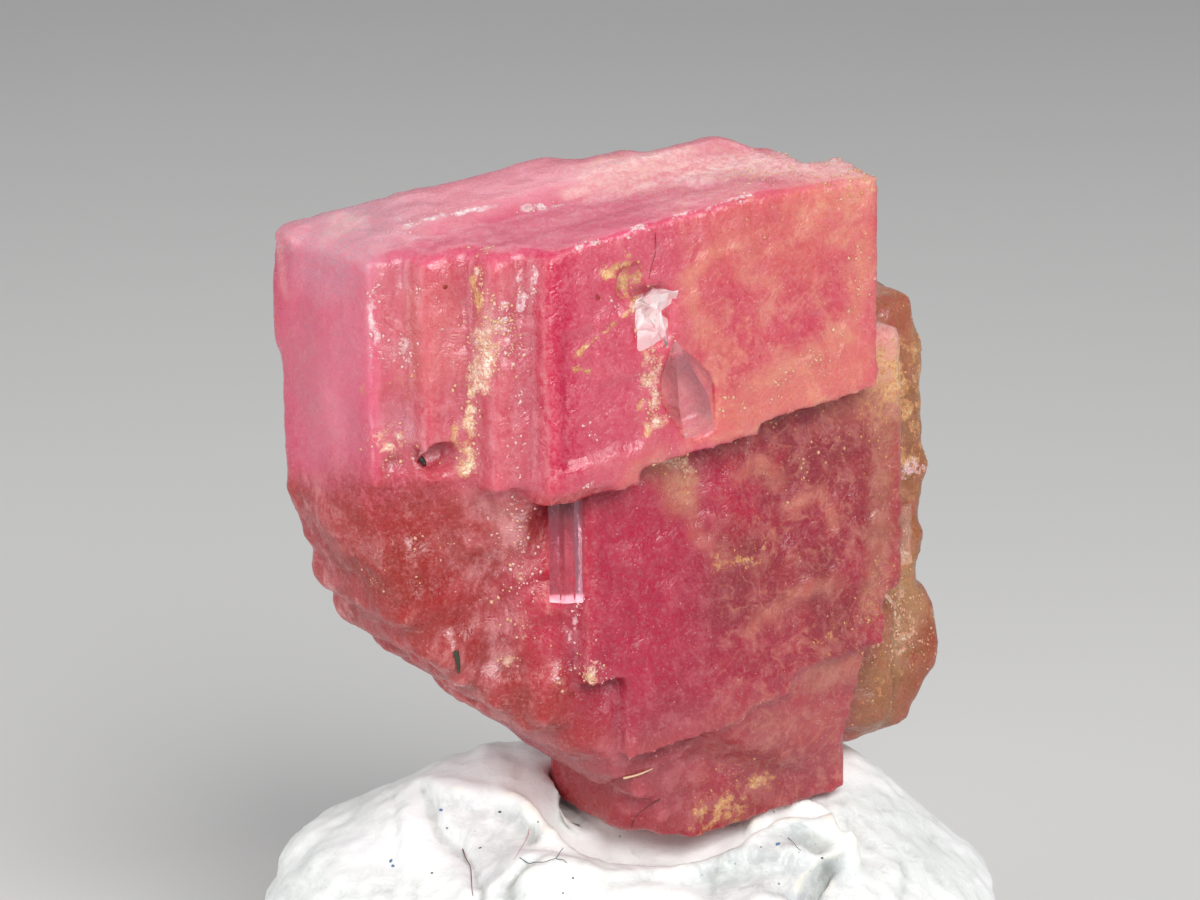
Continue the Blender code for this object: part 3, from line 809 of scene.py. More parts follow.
class Nodes:
    """Builds a material's node tree in plain calls. Patterns are kept by name."""

    def __init__(self, name):
        self.material = bpy.data.materials.new(name)
        self.material.use_nodes = True
        self.tree = self.material.node_tree
        self.surface = self.tree.nodes["Principled BSDF"]
        self.patterns = {}

    def make(self, kind, **settings):
        node = self.tree.nodes.new("ShaderNode" + kind)
        for name, value in settings.items():
            setattr(node, name, value)
        return node

    def put(self, node, socket, value):
        if isinstance(value, bpy.types.NodeSocket):
            self.tree.links.new(value, node.inputs[socket])
        elif value is not None:
            node.inputs[socket].default_value = value

    def set(self, **values):
        """Set sockets of the Principled shader; underscores stand for spaces."""
        for name, value in values.items():
            self.put(self.surface, name.replace("_", " "), value)

    def attribute(self, name, output="Fac"):
        return self.make("Attribute", attribute_name=name).outputs[output]

    def vector_math(self, operation, vector, socket, value, output="Vector"):
        node = self.make("VectorMath", operation=operation)
        self.put(node, 0, vector)
        node.inputs[socket].default_value = value
        return node.outputs[output]

    def position(self):
        """Object coordinates in millimetres."""
        return self.vector_math("SCALE", self.make("TexCoord").outputs["Object"], "Scale", 1.0 / MM)

    def looking(self, direction):
        """How squarely the surface looks along a direction, from -1 to 1."""
        return self.vector_math("DOT_PRODUCT", self.make("TexCoord").outputs["Normal"], 1,
                                Vector(direction).normalized(), "Value")

    def height(self):
        """Height above the underside, in millimetres."""
        node = self.make("SeparateXYZ")
        self.put(node, 0, self.position())
        return node.outputs["Z"]

    def stretched(self, vector, scale):
        """Coordinates scaled by a different factor along each axis."""
        return self.vector_math("MULTIPLY", vector, 1, scale)

    def noise(self, vector, scale, detail=2.0, rough=0.5, warp=0.0):
        node = self.make("TexNoise")
        self.put(node, "Vector", vector)
        for socket, value in zip(("Scale", "Detail", "Roughness", "Distortion"),
                                 (scale, detail, rough, warp)):
            node.inputs[socket].default_value = value
        return node.outputs["Fac"]

    def voronoi(self, vector, scale):
        """Distance to the nearest of scattered points."""
        node = self.make("TexVoronoi")
        self.put(node, "Vector", vector)
        node.inputs["Scale"].default_value = scale
        return node.outputs["Distance"]

    def math(self, operation, first, second=None):
        node = self.make("Math", operation=operation)
        self.put(node, 0, first)
        self.put(node, 1, second)
        return node.outputs[0]

    def ramp(self, value, start, end, first=0.0, last=1.0):
        """A smooth change from first to last as the value goes from start to end."""
        node = self.make("MapRange", interpolation_type="SMOOTHSTEP")
        for socket, part in zip(("Value", "From Min", "From Max", "To Min", "To Max"),
                                (value, start, end, first, last)):
            self.put(node, socket, part)
        return node.outputs[0]

    def mix(self, share, first, second, blend="MIX"):
        node = self.make("Mix", data_type="RGBA", blend_type=blend, clamp_factor=True)
        self.put(node, 0, share)
        for socket, colour in ((6, first), (7, second)):
            self.put(node, socket, (*colour, 1.0) if isinstance(colour, tuple) else colour)
        return node.outputs[2]

    def share(self, *limits):
        """The product of limits. Each is a number, a socket, the name of a pattern or
        layer, or (name, start, end, first, last) as in ramp."""
        product = None
        for limit in limits:
            name, *span = limit if isinstance(limit, tuple) else (limit,)
            if isinstance(name, str):
                name = self.patterns[name] if name in self.patterns else self.attribute(name)
            value = self.ramp(name, *span) if span else name
            product = value if product is None else self.math("MULTIPLY", product, value)
        return product

    def painted(self, colour, coats):
        """The colour under coats of paint: (paint, its limits as in share)."""
        for paint, *limits in coats:
            colour = self.mix(self.share(*limits), colour, tint(*paint))
        return colour

    def bump(self, height, strength, distance, below=None):
        node = self.make("Bump")
        node.inputs["Strength"].default_value = strength
        node.inputs["Distance"].default_value = distance * MM
        self.put(node, "Height", height)
        self.put(node, "Normal", below)
        return node.outputs[0]


def tint(*values):
    """A linear colour from the 0 to 255 values an eye would name."""
    shares = (value / 255.0 for value in values)
    return tuple(share / 12.92 if share <= 0.04045 else ((share + 0.055) / 1.055) ** 2.4
                 for share in shares)


# ---------------- materials

# Patterns of the pink crystal: (stretch along its edges, noise scale, detail, roughness,
# warp, and the start and end of a ramp where it has one).
ROSE_PATTERNS = {
    "cloud": (None, 0.6, 3, 0.6, 0, 0.32, 0.68),
    "patch": (None, 2.4, 4, 0.7, 0.4, 0.3, 0.7),
    "fine": (None, 6.5, 4, 0.7, 0, 0.28, 0.72),
    "grain": (None, 15, 3, 0.7, 0, 0.28, 0.72),
    "web": (None, 1.3, 5, 0.62, 0.8),
    "island": (None, 1.1, 3, 0.6, 0.5),
    "blotch": (None, 1, 5, 0.65, 0.8),
    "streak": ((4.5, 4.5, 0.55), 1, 4, 0.65, 0, 0.35, 0.7),
    "crumb": ((1, 1, 0.6), 3.6, 5, 0.72, 0.4),
}
# Contour-like veins: (noise scale, detail, roughness, warp), and how many rings.
VEIN_NOISE = (0.75, 3.0, 0.55, 0.9)
VEIN_RINGS = 9.0
VEIN_SHARES = {"veined": 0.42, "mottled": 0.30}
# The top and left faces are calmer than the rest.
CALM = (0.0, 1.0, 1.0, 0.35)
# scale of the scattered bright points that are painted as glints
GLINT_POINT_SCALE = 6.0
# Coats of paint, as Nodes.painted takes them.
ROSE = tint(210, 92, 112)
DEEP_COATS = (
    ((200, 82, 98), "striated", 0.8),
    ((217, 92, 125), "left", 0.9),
    ((212, 100, 104), "veined", 0.8),
    ((192, 88, 98), "back", 0.5),
    ((150, 24, 54), "lower", 0.9),
    ((142, 40, 50), "mottled", 0.75),
    ((168, 76, 80), "tip", 0.7),
    ((160, 26, 20), "flank", 0.9),
    ((158, 108, 66), "crust", 0.85),
    ((218, 84, 120), "top", 0.9),
    # painted glare: the top's back band is painted pale
    ((232, 142, 158), "top back sheen", 0.9),
    # broad clouds, then smaller patches, deepen and lighten the rose
    ((190, 40, 74), ("cloud", 0, 1, 0, 0.3)),
    ((220, 140, 146), ("patch", 0.4, 1, 0, 0.24)),
    # pale veins, webs and islands on the right-hand faces
    ((226, 158, 126), ("rings", 0.18, 0), ("fine", 0.1, 0.8, 0.2, 1), "vein share"),
    ((230, 168, 138), "veined", ("web", 0.5, 0.66, 0, 0.42)),
    ((204, 66, 88), "veined", ("web", 0.49, 0.36, 0, 0.5)),
    ((176, 36, 58), ("island", 0.52, 0.64), "mottled", 0.5),
    ((184, 116, 92), "mottled", ("patch", 0.25, 1, 0, 0.28), ("fine", 0, 1, 0.5, 1.2)),
    ((200, 104, 110), "flank", ("blotch", 0.5, 0.66, 0, 0.55)),
    ((140, 24, 18), "flank", ("blotch", 0.48, 0.36, 0, 0.65)),
    # the flank is crumbly: brown-red hollows between pinkish white crumbs
    ((150, 44, 30), "flank", ("crumb", 0.5, 0.36, 0, 0.55)),
    ((226, 160, 152), "flank", ("crumb", 0.53, 0.66, 0, 0.6)),
    ((230, 168, 172), "striated", "streak", "fine", 0.42),
)
# Pigments that soften the rose: (layer, tint, its greatest share).
SOFT_PIGMENTS = (
    ("salmon", (228, 154, 124), 0.6),
    ("lilac", (204, 164, 176), 0.85),
    ("shell", (250, 210, 202), 0.85),
    ("sand", (222, 184, 134), 0.9),
    ("umber", (150, 100, 68), 0.85),
    ("magenta", (194, 2, 70), 0.94),
    ("red", (166, 14, 6), 0.95),
    ("brown", (122, 44, 32), 0.62),
)
LOOSE_SHARES = {"fine": 0.55, "grain": 0.45}
FINE_COATS = (
    *((paint, layer, ("loose", 0.15, 0.85, share, 0.35 * share)) for layer, paint, share in SOFT_PIGMENTS),
    ((222, 146, 150), "pale", ("crumb", 0.42, 0.62, 0.1, 0.75)),
    # sugary light and dark points all over
    ((236, 170, 166), ("grain", 0.6, 1, 0, 0.16)),
    ((160, 26, 56), "calm", ("fine", 0.4, 0, 0, 0.12)),
    ((146, 98, 50), "crust", 0.35),
)
# Crusts: (layer, tint, tint of its lighter grains).
GRAINY_PIGMENTS = (
    ("ochre", (204, 142, 96), (238, 196, 142)),
    ("cream", (224, 156, 130), (255, 244, 222)),
    ("white", (224, 170, 176), (252, 236, 236)),
)
# A crust shows where its strength, less the gaps of the loose pattern, is in this span.
CRUST_STRENGTH = 1.4
CRUST_GAPS = 1.3
CRUST_SPAN = (-0.18, 0.32, 0.0, 0.95)
# Painted highlights: worn convex edges are lightened as if they catch the light, and scattered bright
# points inside are painted glints.
PAINTED_HIGHLIGHT_COATS = (
    ((232, 172, 170), ("edge", 0.66, 0.95), ("fine", 0.2, 0.9, 0.1, 0.4)),
    ((246, 210, 204), ("points", 0.1, 0.04, 0, 0.75), "cloud"),
)
ROSE_DEPTH = 0.90
# (pattern, strength, height), from the broad bumps to the fine ones on them.
ROSE_BUMPS = (("patch", 0.35, 0.050), ("fine", 0.15, 0.030), ("grain", 0.10, 0.015))


def rhodochrosite_material():
    """Rose crystal: soft inner light, cloudy zones, veins, crusts and flecks, with painted highlights on
    its edges, painted glints and a painted glare on the top's back band.
    """
    n = Nodes("rhodochrosite")
    place = n.position()
    lattice = n.attribute("place", "Vector")
    for name, (stretch, scale, detail, rough, warp, *span) in ROSE_PATTERNS.items():
        field = n.noise(n.stretched(lattice, stretch) if stretch else place, scale, detail, rough, warp)
        n.patterns[name] = n.ramp(field, *span) if span else field
    wander = n.math("MULTIPLY", n.noise(place, *VEIN_NOISE), VEIN_RINGS)
    n.patterns["rings"] = n.math("PINGPONG", wander, 0.5)
    for name, shares in (("vein share", VEIN_SHARES), ("loose", LOOSE_SHARES)):
        n.patterns[name] = n.math("ADD", *(n.share(*part) for part in shares.items()))
    n.patterns["calm"] = n.ramp(n.math("MAXIMUM", n.attribute("top"), n.attribute("left")), *CALM)
    # scattered points for the painted glints
    n.patterns["points"] = n.voronoi(place, GLINT_POINT_SCALE)
    colour = n.painted(n.painted(ROSE, DEEP_COATS), FINE_COATS)
    for layer, paint, light_paint in GRAINY_PIGMENTS:
        over = n.math("SUBTRACT", n.share(layer, CRUST_STRENGTH), n.share("loose", CRUST_GAPS))
        shade = n.mix(n.share(("grain", 0.25, 0.75)), tint(*paint), tint(*light_paint))
        colour = n.mix(n.ramp(over, *CRUST_SPAN), colour, shade)
    # the painted highlights and glints go on last
    colour = n.mix(1.0, n.painted(colour, PAINTED_HIGHLIGHT_COATS), (ROSE_DEPTH,) * 3, "MULTIPLY")
    n.set(Base_Color=colour, Subsurface_Weight=0.65, Subsurface_Radius=(1.0, 0.36, 0.34),
          Subsurface_Scale=0.0010, IOR=1.6, Specular_IOR_Level=0.42,
          Coat_Weight=0.16, Coat_Roughness=0.08, Roughness=n.share(("fine", 0.0, 1.0, 0.20, 0.42)))
    bump = None
    for name, strength, distance in ROSE_BUMPS:
        bump = n.bump(n.share("calm", name), strength, distance, bump)
    n.set(Normal=bump)
    return n.material


def grains_material():
    """Crust grains, each in its own shade of cream, ochre or white."""
    n = Nodes("crust grains")
    n.patterns["shade"] = n.math("FRACT", n.attribute("tone"))
    n.patterns["speckle"] = n.noise(n.position(), 30.0)
    colour = n.painted(tint(226, 184, 148), (
        ((214, 158, 104), ("tone", 0.8, 0.9)),
        ((238, 200, 198), ("tone", 1.8, 1.9)),
        ((200, 120, 112), ("shade", 0.0, 0.5, 0.0, 0.45))))
    n.set(Base_Color=colour, IOR=1.55, Roughness=n.share(("speckle", 0.3, 0.7, 0.3, 0.6)))
    return n.material


# white of the prism's foot: a painted highlight along its bottom edge
QUARTZ_FOOT_HIGHLIGHT = tint(255, 240, 244)
# faces looking this way are painted paler, as the side the light falls on
QUARTZ_LIT_SIDE = (0.9, -0.3, 0.2)


def quartz_material(name, colour, veil_and_lit_colour, clearness, highlight_foot_level):
    """Quartz: see-through, painted paler to the right as its lit side, with fine veils and a foot painted
    white as a highlight.
    """
    n = Nodes(name)
    place = n.position()
    veil = n.ramp(n.noise(place, 7.0, 5.0, 0.7, 0.4), 0.35, 0.75, 0.0, 0.5)
    # painted light: faces turned to the right are paler
    side = n.ramp(n.looking(QUARTZ_LIT_SIDE), -0.2, 0.7, 0.0, 0.75)
    # painted highlight: below its level the foot turns white and less clear
    highlight_foot = n.ramp(n.height(), highlight_foot_level + 0.10, highlight_foot_level - 0.02)
    pale = n.math("MAXIMUM", veil, side)
    body = n.mix(pale, tint(*colour), tint(*veil_and_lit_colour))
    n.set(Base_Color=n.mix(highlight_foot, body, QUARTZ_FOOT_HIGHLIGHT), IOR=1.55,
          Transmission_Weight=n.ramp(highlight_foot, 0.0, 1.0, clearness, 0.3),
          Roughness=n.ramp(pale, 0.5, 1.0, 0.03, 0.12))
    n.set(Normal=n.bump(n.noise(place, 9.0, 3.0), 0.20, 0.02))
    return n.material


PUTTY_SHADE = tint(242, 245, 241)
PUTTY_LIGHT = tint(255, 255, 254)
PUTTY_COATS = (
    # grey patches, and the smudges with the painted shade of hollows and valleys
    ((184, 188, 188), ("broad", 0.56, 0.4), ("grime", 0.5, 0.72), 0.4),
    ((158, 164, 164), "smudge_and_shade", ("grime", 0.3, 0.62, 0.45, 1.2)),
    # painted shade in the hollows, and thin rims tinted yellow
    ((158, 160, 150), ("edge", 0.42, 0.12, 0, 0.4)),
    ((252, 246, 224), ("edge", 0.7, 1, 0, 0.4)),
    # specks, and dust in the smudged and shaded places
    ((90, 96, 110), ("specks", 0.05, 0.02), 0.7),
    ((104, 108, 114), ("dust", 0.1, 0.05), "smudge_and_shade"),
)


def putty_material():
    """White putty: matte, finger-smoothed, smudged grey, painted grey as shade in its hollows and fold
    valleys, yellow at thin rims.
    """
    n = Nodes("putty")
    place = n.position()
    n.patterns = {"broad": n.noise(place, 0.5, 4.0, 0.6, 0.8), "grime": n.noise(place, 2.6, 5.0, 0.7, 0.5),
                  "specks": n.voronoi(place, 1.4), "dust": n.voronoi(place, 4.5)}
    colour = n.painted(n.mix(n.share(("broad", 0.35, 0.7)), PUTTY_SHADE, PUTTY_LIGHT), PUTTY_COATS)
    n.set(Base_Color=colour, Subsurface_Weight=0.15, Subsurface_Radius=(1.0, 0.95, 0.85),
          Subsurface_Scale=0.0002, IOR=1.45, Specular_IOR_Level=0.4,
          Roughness=n.share(("grime", 0.3, 0.8, 0.42, 0.68)))
    n.set(Normal=n.bump(n.noise(place, 9.0, 3.0, 0.6), 0.35, 0.02, n.bump(n.share("grime"), 0.45, 0.06)))
    return n.material


FIBRE_SHADE = 0.7


def plain_material(name, colour, roughness):
    """A fibre or speck: one hue, a little darker and lighter along it."""
    n = Nodes(name)
    shade = n.noise(n.position(), 4.0)
    light = tint(*colour)
    dark = tuple(FIBRE_SHADE * part for part in light)
    n.set(Base_Color=n.mix(shade, dark, light), Roughness=roughness)
    return n.material


# ---------------- quartz

# (node, colour, paler colour of the veils and of the painted lit side, share that is clear,
# level below which the foot is painted white as a highlight, growth over the plain solid,
# how far its faces are broken)
QUARTZ = (
    ("quartz_point", (250, 222, 230), (246, 238, 252), 0.9, 0, 1.07, 0),
    ("quartz_grain", (242, 236, 234), (255, 255, 255), 0.62, 0, 1.32, 0.2),
    ("quartz_prism", (204, 118, 138), (224, 164, 180), 0.92, 10.13, 1.05, 0),
    ("quartz_block", (252, 224, 214), (255, 244, 236), 0.9, 0, 1.1, 0.04),
)
# The prism's foot reaches this much further down than its plain solid.
PRISM_LONGER = 0.27
QUARTZ_WEAR = 0.012
# Broken faces: noise scale, its offsets, and how far it moves them inwards and at random.
BREAK_SCALE = 2.3
BREAK_OFFSETS = (5.0, 21.0, 37.0)
BREAK_INWARDS = 0.5
BREAK_SHIFT = 1.8


def quartz_piece(node, finish, growth, broken):
    """A quartz crystal grown tight in its pocket, with worn, light-catching edges."""
    thing = node_copy(node, "clear_" + node)
    centre = sum((vertex.co for vertex in thing.data.vertices), Vector()) / len(thing.data.vertices)
    thing.data.transform(Matrix.Translation(centre) @ Matrix.Scale(growth, 4)
                         @ Matrix.Translation(-centre))
    for vertex in thing.data.vertices:
        if node == "quartz_prism" and vertex.co.z < centre.z:
            vertex.co -= PRISM_LONGER * LATTICE.to_3x3().col[2].normalized()
    with editing(thing.data) as shape:
        bmesh.ops.remove_doubles(shape, verts=shape.verts, dist=1e-4)
        bmesh.ops.dissolve_limit(shape, angle_limit=math.radians(1.0), verts=shape.verts,
                                 edges=shape.edges)
    if broken:
        finer = thing.modifiers.new("finer", "SUBSURF")
        finer.subdivision_type = "SIMPLE"
        finer.levels = 2
        baked(thing)
        for vertex in thing.data.vertices:
            inwards = (centre - vertex.co).normalized()
            shift = Vector([noise.noise(vertex.co * BREAK_SCALE + Vector((far, far, 0.0)))
                            for far in BREAK_OFFSETS])
            vertex.co += broken * (inwards * BREAK_INWARDS + shift * BREAK_SHIFT)
    bevel = thing.modifiers.new("worn", "BEVEL")
    bevel.width = QUARTZ_WEAR
    bevel.segments = 2
    baked(thing)
    finish_piece(thing, finish, "clear_quartz", node)
    for face in thing.data.polygons:
        face.use_smooth = False
    thing.visible_shadow = False


# ---------------- putty

# Rolled ridges pressed up round the tip: (radius, path).
PUTTY_ROLLS = (
    (0.34, [(-2.3, -1.2, 5.55), (-1.75, -2.1, 5.42), (-1.25, -2.75, 5.05), (-0.6, -3.1, 4.72)]),
    (0.26, [(-0.6, -3.1, 4.72), (0.2, -3.25, 4.68), (1.3, -3.25, 4.7), (2.2, -3.1, 4.95)]),
    (0.24, [(2.2, -3.1, 4.95), (2.6, -2.9, 5.28), (3, -2.75, 5.48), (3.6, -2.65, 5.42),
            (4.1, -2.65, 5.15), (4.35, -2.9, 4.9)]),
    (0.3, [(2.7, -3.2, 4.95), (3.3, -3.2, 5.05), (3.8, -3.1, 4.95)]),
    (0.2, [(4.35, -2.9, 4.9), (3.9, -3.6, 4.7), (3.5, -4.1, 4.45)]),
)
# The crater round the tip: (width, depth, path).
PUTTY_DENTS = (
    (0.75, 0.45, [(-0.9, -1.9, 5.3), (0.1, -2.3, 5.0)]),
)
# Folds and creases, placed by view: (width, lift, greyness of smudge and painted shade, pixels along it).
PUTTY_FOLDS = (
    # the left fold: its crease, its thick lip and the hollow under it, painted grey as shade
    (0.15, -0.18, 0.3, [(422, 789), (432, 819), (451, 842), (464, 854), (472, 873), (474, 898)]),
    (0.32, 0.16, 0, [(428, 783), (458, 792), (504, 797), (536, 808), (556, 828)]),
    (0.18, -0.1, 0.45, [(439, 801), (480, 806), (518, 820), (532, 836)]),
    (0.55, -0.1, 0.4, [(468, 822), (492, 836), (490, 862)]),
    (0.18, -0.26, 0.55, [(504, 898), (508, 876), (527, 861)]),
    (0.22, 0.12, 0, [(536, 898), (530, 880), (548, 866)]),
    (0.1, -0.06, 0.1, [(392, 784), (395, 812), (398, 846)]),
    (0.1, -0.05, 0.15, [(318, 884), (352, 888), (388, 884)]),
    (0.2, 0.08, 0, [(404, 812), (412, 846), (418, 884)]),
    # the right flap: its curled lip, its hollow and the valley below it, both painted grey as shade
    (0.15, 0.24, 0, [(755, 830), (765, 814), (784, 806), (808, 809), (826, 823), (835, 838), (848, 846)]),
    (0.14, 0.22, 0, [(848, 848), (828, 858), (812, 870), (800, 888)]),
    (0.26, -0.2, 0.55, [(780, 826), (804, 832), (818, 842)]),
    (0.24, -0.42, 0.75, [(838, 866), (822, 878), (808, 896)]),
    (0.34, 0.12, 0, [(846, 810), (858, 828), (882, 850), (896, 872)]),
    (0.13, -0.1, 0.25, [(842, 800), (850, 824), (868, 846)]),
    (0.1, -0.08, 0.2, [(900, 858), (906, 880), (904, 898)]),
    # the front rim: grey between its creases, smudged and painted as shade
    (0.4, 0, 0.6, [(716, 868), (752, 862), (788, 858)]),
    (0.26, -0.04, 0.55, [(722, 892), (760, 886), (784, 890)]),
    (0.09, -0.06, 0.3, [(712, 862), (716, 876), (710, 892)]),
    (0.12, -0.05, 0.15, [(600, 898), (616, 882), (650, 878)]),
    (0.14, 0.05, 0, [(560, 862), (600, 872), (660, 870), (706, 862)]),
    # the broad left side, lightly greyed as painted shade
    (0.9, -0.04, 0.22, [(330, 850), (366, 818)]),
    (0.8, 0, 0.22, [(300, 890), (380, 880)]),
    (0.5, 0, 0.14, [(880, 800), (930, 850), (960, 890)]),
)
# Beads along a ridge: their distance and their change, as shares of its radius.
BEAD_GAP = 0.25
BEAD_CHANGE = 0.22
BEAD_SCALE = 2.1
# The putty's own surface: (height, scale, offset, octaves). Creases are the folded noise.
PUTTY_SHIFT = np.array((2.0, 8.0, 5.0))
PUTTY_NOISES = ((0.07, 0.75, 0.0, 2), (0.014, 4.5, 0.0, 2))
PUTTY_CREASES = (-0.08, 1.5, 4.0, 2)
# Folds wander this far: (how far, scale) and the offsets for each axis.
FOLD_WAVES = (0.07, 2.2)
FOLD_OFFSETS = (1.0, 5.0, 9.0)
FOLD_PIECES = 3
# Between these heights the underside's flatness gives way to the folds.
PUTTY_FREE = (0.15, 0.8)


def add_rolls(thing):
    """Add beads along each ridge; the remesh then merges them with the putty."""
    with editing(thing.data) as shape:
        for radius, path in PUTTY_ROLLS:
            beads = max(2, int(sum(side_lengths(path)) / (BEAD_GAP * radius)))
            for bead in range(beads + 1):
                place = path_point(path, bead / beads)
                size = radius * (1.0 + BEAD_CHANGE * noise.noise(place * BEAD_SCALE))
                bmesh.ops.create_icosphere(shape, subdivisions=2, radius=size,
                                           matrix=Matrix.Translation(place))


def putty_piece():
    """The putty with its pressed folds, creases and smudges, greyed as painted shade in its hollows and
    valleys.
    """
    thing = node_copy("mounting_putty", "putty")
    add_rolls(thing)
    remesh(thing, PUTTY_VOXEL, PUTTY_ROUNDING)
    mesh = thing.data
    tree = surface_tree(thing)
    points, normals = vertex_arrays(mesh)
    height = sum(lift * noise_field(points, scale, PUTTY_SHIFT + offset, octaves)
                 for lift, scale, offset, octaves in PUTTY_NOISES)
    lift, scale, offset, octaves = PUTTY_CREASES
    height = height + lift * np.abs(noise_field(points, scale, PUTTY_SHIFT + offset, octaves))
    for width, depth, path in PUTTY_DENTS:
        gap = distance_to_path(points, path) / width
        height = height - depth * np.exp(-gap * gap)
    far, scale = FOLD_WAVES
    bent = points + np.stack([far * noise_field(points, scale, PUTTY_SHIFT + offset)
                              for offset in FOLD_OFFSETS], axis=1)
    smudge_and_shade = np.zeros(len(points))
    for width, lift, grey, pixels in PUTTY_FOLDS:
        spots = [surface_at(tree, pixel)[0] for pixel in smooth_path(pixels, FOLD_PIECES)]
        gap = distance_to_path(bent, [spot for spot in spots if spot]) / width
        height = height + lift * np.exp(-gap * gap)
        # greyness of smudges and of painted shade in hollows and valleys
        smudge_and_shade = np.maximum(smudge_and_shade, grey * np.exp(-0.5 * gap * gap))
    points = points + normals * (height * step(*PUTTY_FREE, points[:, 2]))[:, None]
    points[:, 2] = np.maximum(points[:, 2], 0.0)
    add_layer(mesh, "edge", convexity(*moved(mesh, points), Neighbours(mesh)))
    add_layer(mesh, "smudge_and_shade", smudge_and_shade)
    return thing


# ---------------- fibres and specks

# (name, tint, radius, how far it bows off the surface, how stiff it lies, pixels along it)
FIBRES = (
    ("pale_fibre", (240, 206, 166), 0.024, 0.08, 80, [(623, 777), (637, 773), (652, 768)]),
    ("dark_hair", (60, 30, 34), 0.007, 0.06, 4, [(655, 233), (655, 248), (652, 262), (649, 279)]),
    ("low_hair", (44, 30, 34), 0.008, 0.08, 4, [(660, 799), (647, 806), (636, 816), (631, 828)]),
    ("putty_hair", (50, 52, 66), 0.009, 0.1, 4, [(520, 858), (530, 864), (542, 866), (554, 861),
                                                  (561, 852), (563, 848)]),
    ("putty_hair_end", (50, 52, 66), 0.008, 0.03, 4, [(556, 859), (562, 861), (567, 863)]),
    ("red_fibre", (120, 56, 64), 0.012, 0.04, 4, [(463, 849), (466, 856), (470, 868), (471, 884),
                                                   (473, 896)]),
    ("rose_fibre", (216, 150, 156), 0.008, 0.03, 4, [(529, 829), (528, 838), (521, 850), (514, 860)]),
    ("blue_fibre", (70, 80, 120), 0.008, 0.05, 4, [(788, 838), (793, 845), (801, 851)]),
    ("black_speck", (26, 18, 18), 0.07, 0.02, 4, [(418, 459), (421, 463), (424, 468)]),
    ("green_speck", (50, 62, 42), 0.055, 0, 4, [(455, 651), (457, 661), (458, 670)]),
)
FIBRE_SIDES = 7
FIBRE_PIECES = 8
FIBRE_TAPER = 0.5
FIBRE_ROUGHNESS = 0.5
# (name, tint, size, pixels)
SPECKS = (
    ("blue_specks", (92, 132, 170), 0.045, [(441, 810), (778, 844), (391, 861), (393, 866)]),
    ("dark_specks", (74, 76, 88), 0.024, [(447, 828), (761, 847), (779, 884), (822, 858), (563, 893),
                                              (573, 878), (480, 848), (432, 873), (500, 812), (538, 822)]),
    ("rust_specks", (150, 40, 28), 0.045, [(445, 287), (597, 296), (598, 298), (572, 694)]),
)
SPECK_LONG = (0.8, 1.3)
SPECK_WIDE = (0.7, 1.1)
SPECK_FLAT = 0.55
SPECK_LUMPS = 0.35
SPECK_ROUGHNESS = 0.6


def fibre(tree, name, radius, bow, stiffness, pixels):
    """A thin tapering tube that lies on the surface, bowed a little off it."""
    spots = []
    path = smooth_path(pixels, FIBRE_PIECES)
    for index, pixel in enumerate(path):
        spot, normal = surface_at(tree, pixel)
        share = index / (len(path) - 1)
        spots.append(spot + normal * (radius + bow * math.sin(math.pi * share) ** 2))
    for _ in range(stiffness):
        spots[1:-1] = [(before + 2 * spot + after) / 4
                       for before, spot, after in zip(spots, spots[1:], spots[2:])]
    mesh = bpy.data.meshes.new(name)
    with editing(mesh) as shape:
        rings = []
        for index, spot in enumerate(spots):
            along = spots[min(index + 1, len(spots) - 1)] - spots[max(index - 1, 0)]
            turn = along.to_track_quat("Z", "Y")
            thick = radius * (1.0 - FIBRE_TAPER * index / (len(spots) - 1))
            angles = [side * math.tau / FIBRE_SIDES for side in range(FIBRE_SIDES)]
            rings.append([shape.verts.new(spot + turn @ Vector((math.cos(angle), math.sin(angle), 0.0))
                                          * thick) for angle in angles])
        for near, far in zip(rings[:-1], rings[1:]):
            for side in range(FIBRE_SIDES):
                after = (side + 1) % FIBRE_SIDES
                shape.faces.new((near[side], near[after], far[after], far[side]))
        shape.faces.new(rings[0][::-1])
        shape.faces.new(rings[-1])
        bmesh.ops.recalc_face_normals(shape, faces=shape.faces)
    return link(name, mesh)


def specks(tree, name, size, pixels, chance):
    """Small lumpy specks pressed on the surface."""
    mesh = bpy.data.meshes.new(name)
    with editing(mesh) as shape:
        for pixel in pixels:
            spot, normal = surface_at(tree, pixel)
            turn = normal.to_track_quat("Z", "Y").to_matrix().to_4x4()
            flat = Matrix.Diagonal((chance.uniform(*SPECK_LONG), chance.uniform(*SPECK_WIDE),
                                    SPECK_FLAT, 1.0))
            radius = size * chance.uniform(*SPECK_WIDE)
            made = bmesh.ops.create_icosphere(shape, subdivisions=2, radius=radius)
            for vertex in made["verts"]:
                vertex.co *= 1.0 + SPECK_LUMPS * noise.noise(vertex.co * 1.2 / size + spot)
                vertex.co = spot + (turn @ flat @ vertex.co)
    return link(name, mesh)


def fibres_and_specks(tree, chance):
    for name, colour, *form in FIBRES:
        finish_piece(fibre(tree, name, *form), plain_material(name, colour, FIBRE_ROUGHNESS), "white_putty")
    for name, colour, *form in SPECKS:
        finish_piece(specks(tree, name, *form, chance), plain_material(name, colour, SPECK_ROUGHNESS),
                     "white_putty")


# ---------------- surroundings

FLOOR_SIZE = 2.0
FLOOR_PLACE = (0.0, 0.4, 0.0)
FLOOR_TINTS = (tint(224, 223, 220), tint(230, 229, 226))
# (name, place, size, energy) of each soft lamp, in millimetres and watts.
LAMPS = (
    ("key", (34, -88, 84), 70, 0.12),
    ("fill", (-92, -56, 45), 90, 0.048),
    ("rim", (0, 80, 110), 60, 0.012),
)
LAMP_TARGET = Vector((0.0, 0.0, 10.0))
SKY_COLOUR = (0.95, 0.96, 1.0, 1.0)
SKY_STRENGTH = 0.36
SENSOR_WIDTH = 36.0
CAMERA_CLIP = (0.001, 20.0)


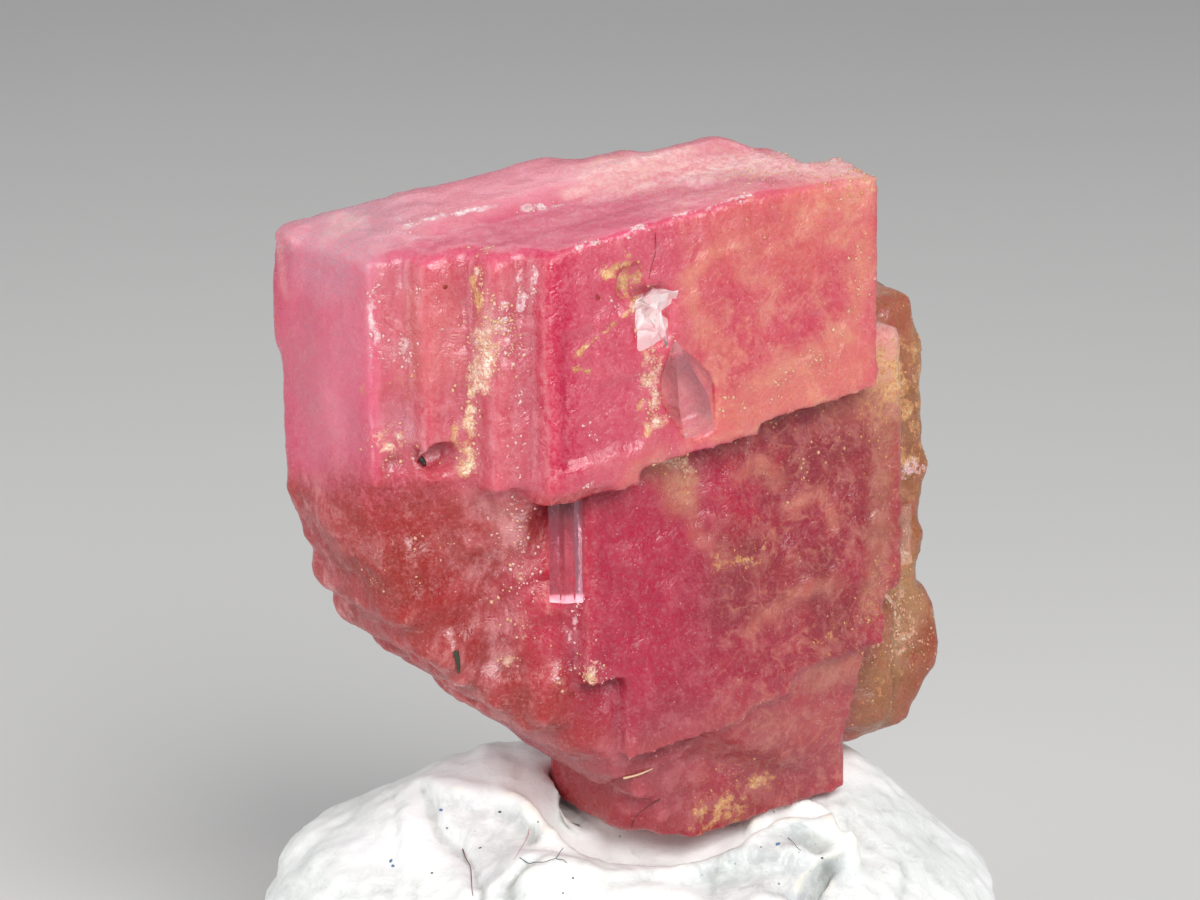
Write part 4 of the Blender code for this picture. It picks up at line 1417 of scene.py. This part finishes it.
def lay_floor():
    bpy.ops.mesh.primitive_plane_add(size=FLOOR_SIZE, location=FLOOR_PLACE)
    floor = bpy.context.object
    floor.name = "floor"
    n = Nodes("floor")
    n.set(Base_Color=n.mix(n.noise(n.position(), 0.02, 3.0), *FLOOR_TINTS), Roughness=0.7)
    floor.data.materials.append(n.material)
    floor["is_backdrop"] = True


def light_scene():
    for name, place, size, energy in LAMPS:
        lamp = bpy.data.lights.new(name, "AREA")
        lamp.shape = "DISK"
        lamp.size = size * MM
        lamp.energy = energy
        holder = link(name, lamp)
        holder.location = Vector(place) * MM
        holder.rotation_euler = (LAMP_TARGET - Vector(place)).to_track_quat("-Z", "Y").to_euler()
    world = bpy.data.worlds.new("studio")
    world.use_nodes = True
    backdrop = world.node_tree.nodes["Background"]
    backdrop.inputs["Color"].default_value = SKY_COLOUR
    backdrop.inputs["Strength"].default_value = SKY_STRENGTH
    bpy.context.scene.world = world
    bpy.context.scene.view_settings.view_transform = "Standard"


def place_camera():
    camera = bpy.data.cameras.new("camera")
    camera.sensor_width = SENSOR_WIDTH
    camera.lens = camera.sensor_width * VIEW_DISTANCE / VIEW_WIDTH
    camera.clip_start, camera.clip_end = CAMERA_CLIP
    holder = link("camera", camera)
    holder.location = (VIEW_CENTRE - VIEW_AHEAD * VIEW_DISTANCE) * MM
    holder.rotation_euler = VIEW_AHEAD.to_track_quat("-Z", "Y").to_euler()
    bpy.context.scene.camera = holder


# ---------------- build

def main():
    lay_floor()
    light_scene()
    place_camera()
    chance = random.Random(RANDOM_SEED)
    crystal = crystal_piece(chance)
    grains = grains_piece(crystal, chance)
    putty = putty_piece()
    for node, colour, veil_and_lit_colour, clearness, highlight_foot_level, growth, broken in QUARTZ:
        finish = quartz_material(node, colour, veil_and_lit_colour, clearness, highlight_foot_level)
        quartz_piece(node, finish, growth, broken)
    fibres_and_specks(surface_tree(crystal, putty), chance)
    finish_piece(crystal, rhodochrosite_material(), "rose_rhodochrosite", "rhodochrosite_crystal")
    finish_piece(grains, grains_material(), "rose_rhodochrosite")
    finish_piece(putty, putty_material(), "white_putty", "mounting_putty")


main()

[[list(corner) for corner in box] for box in (CAD_BOX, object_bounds())]
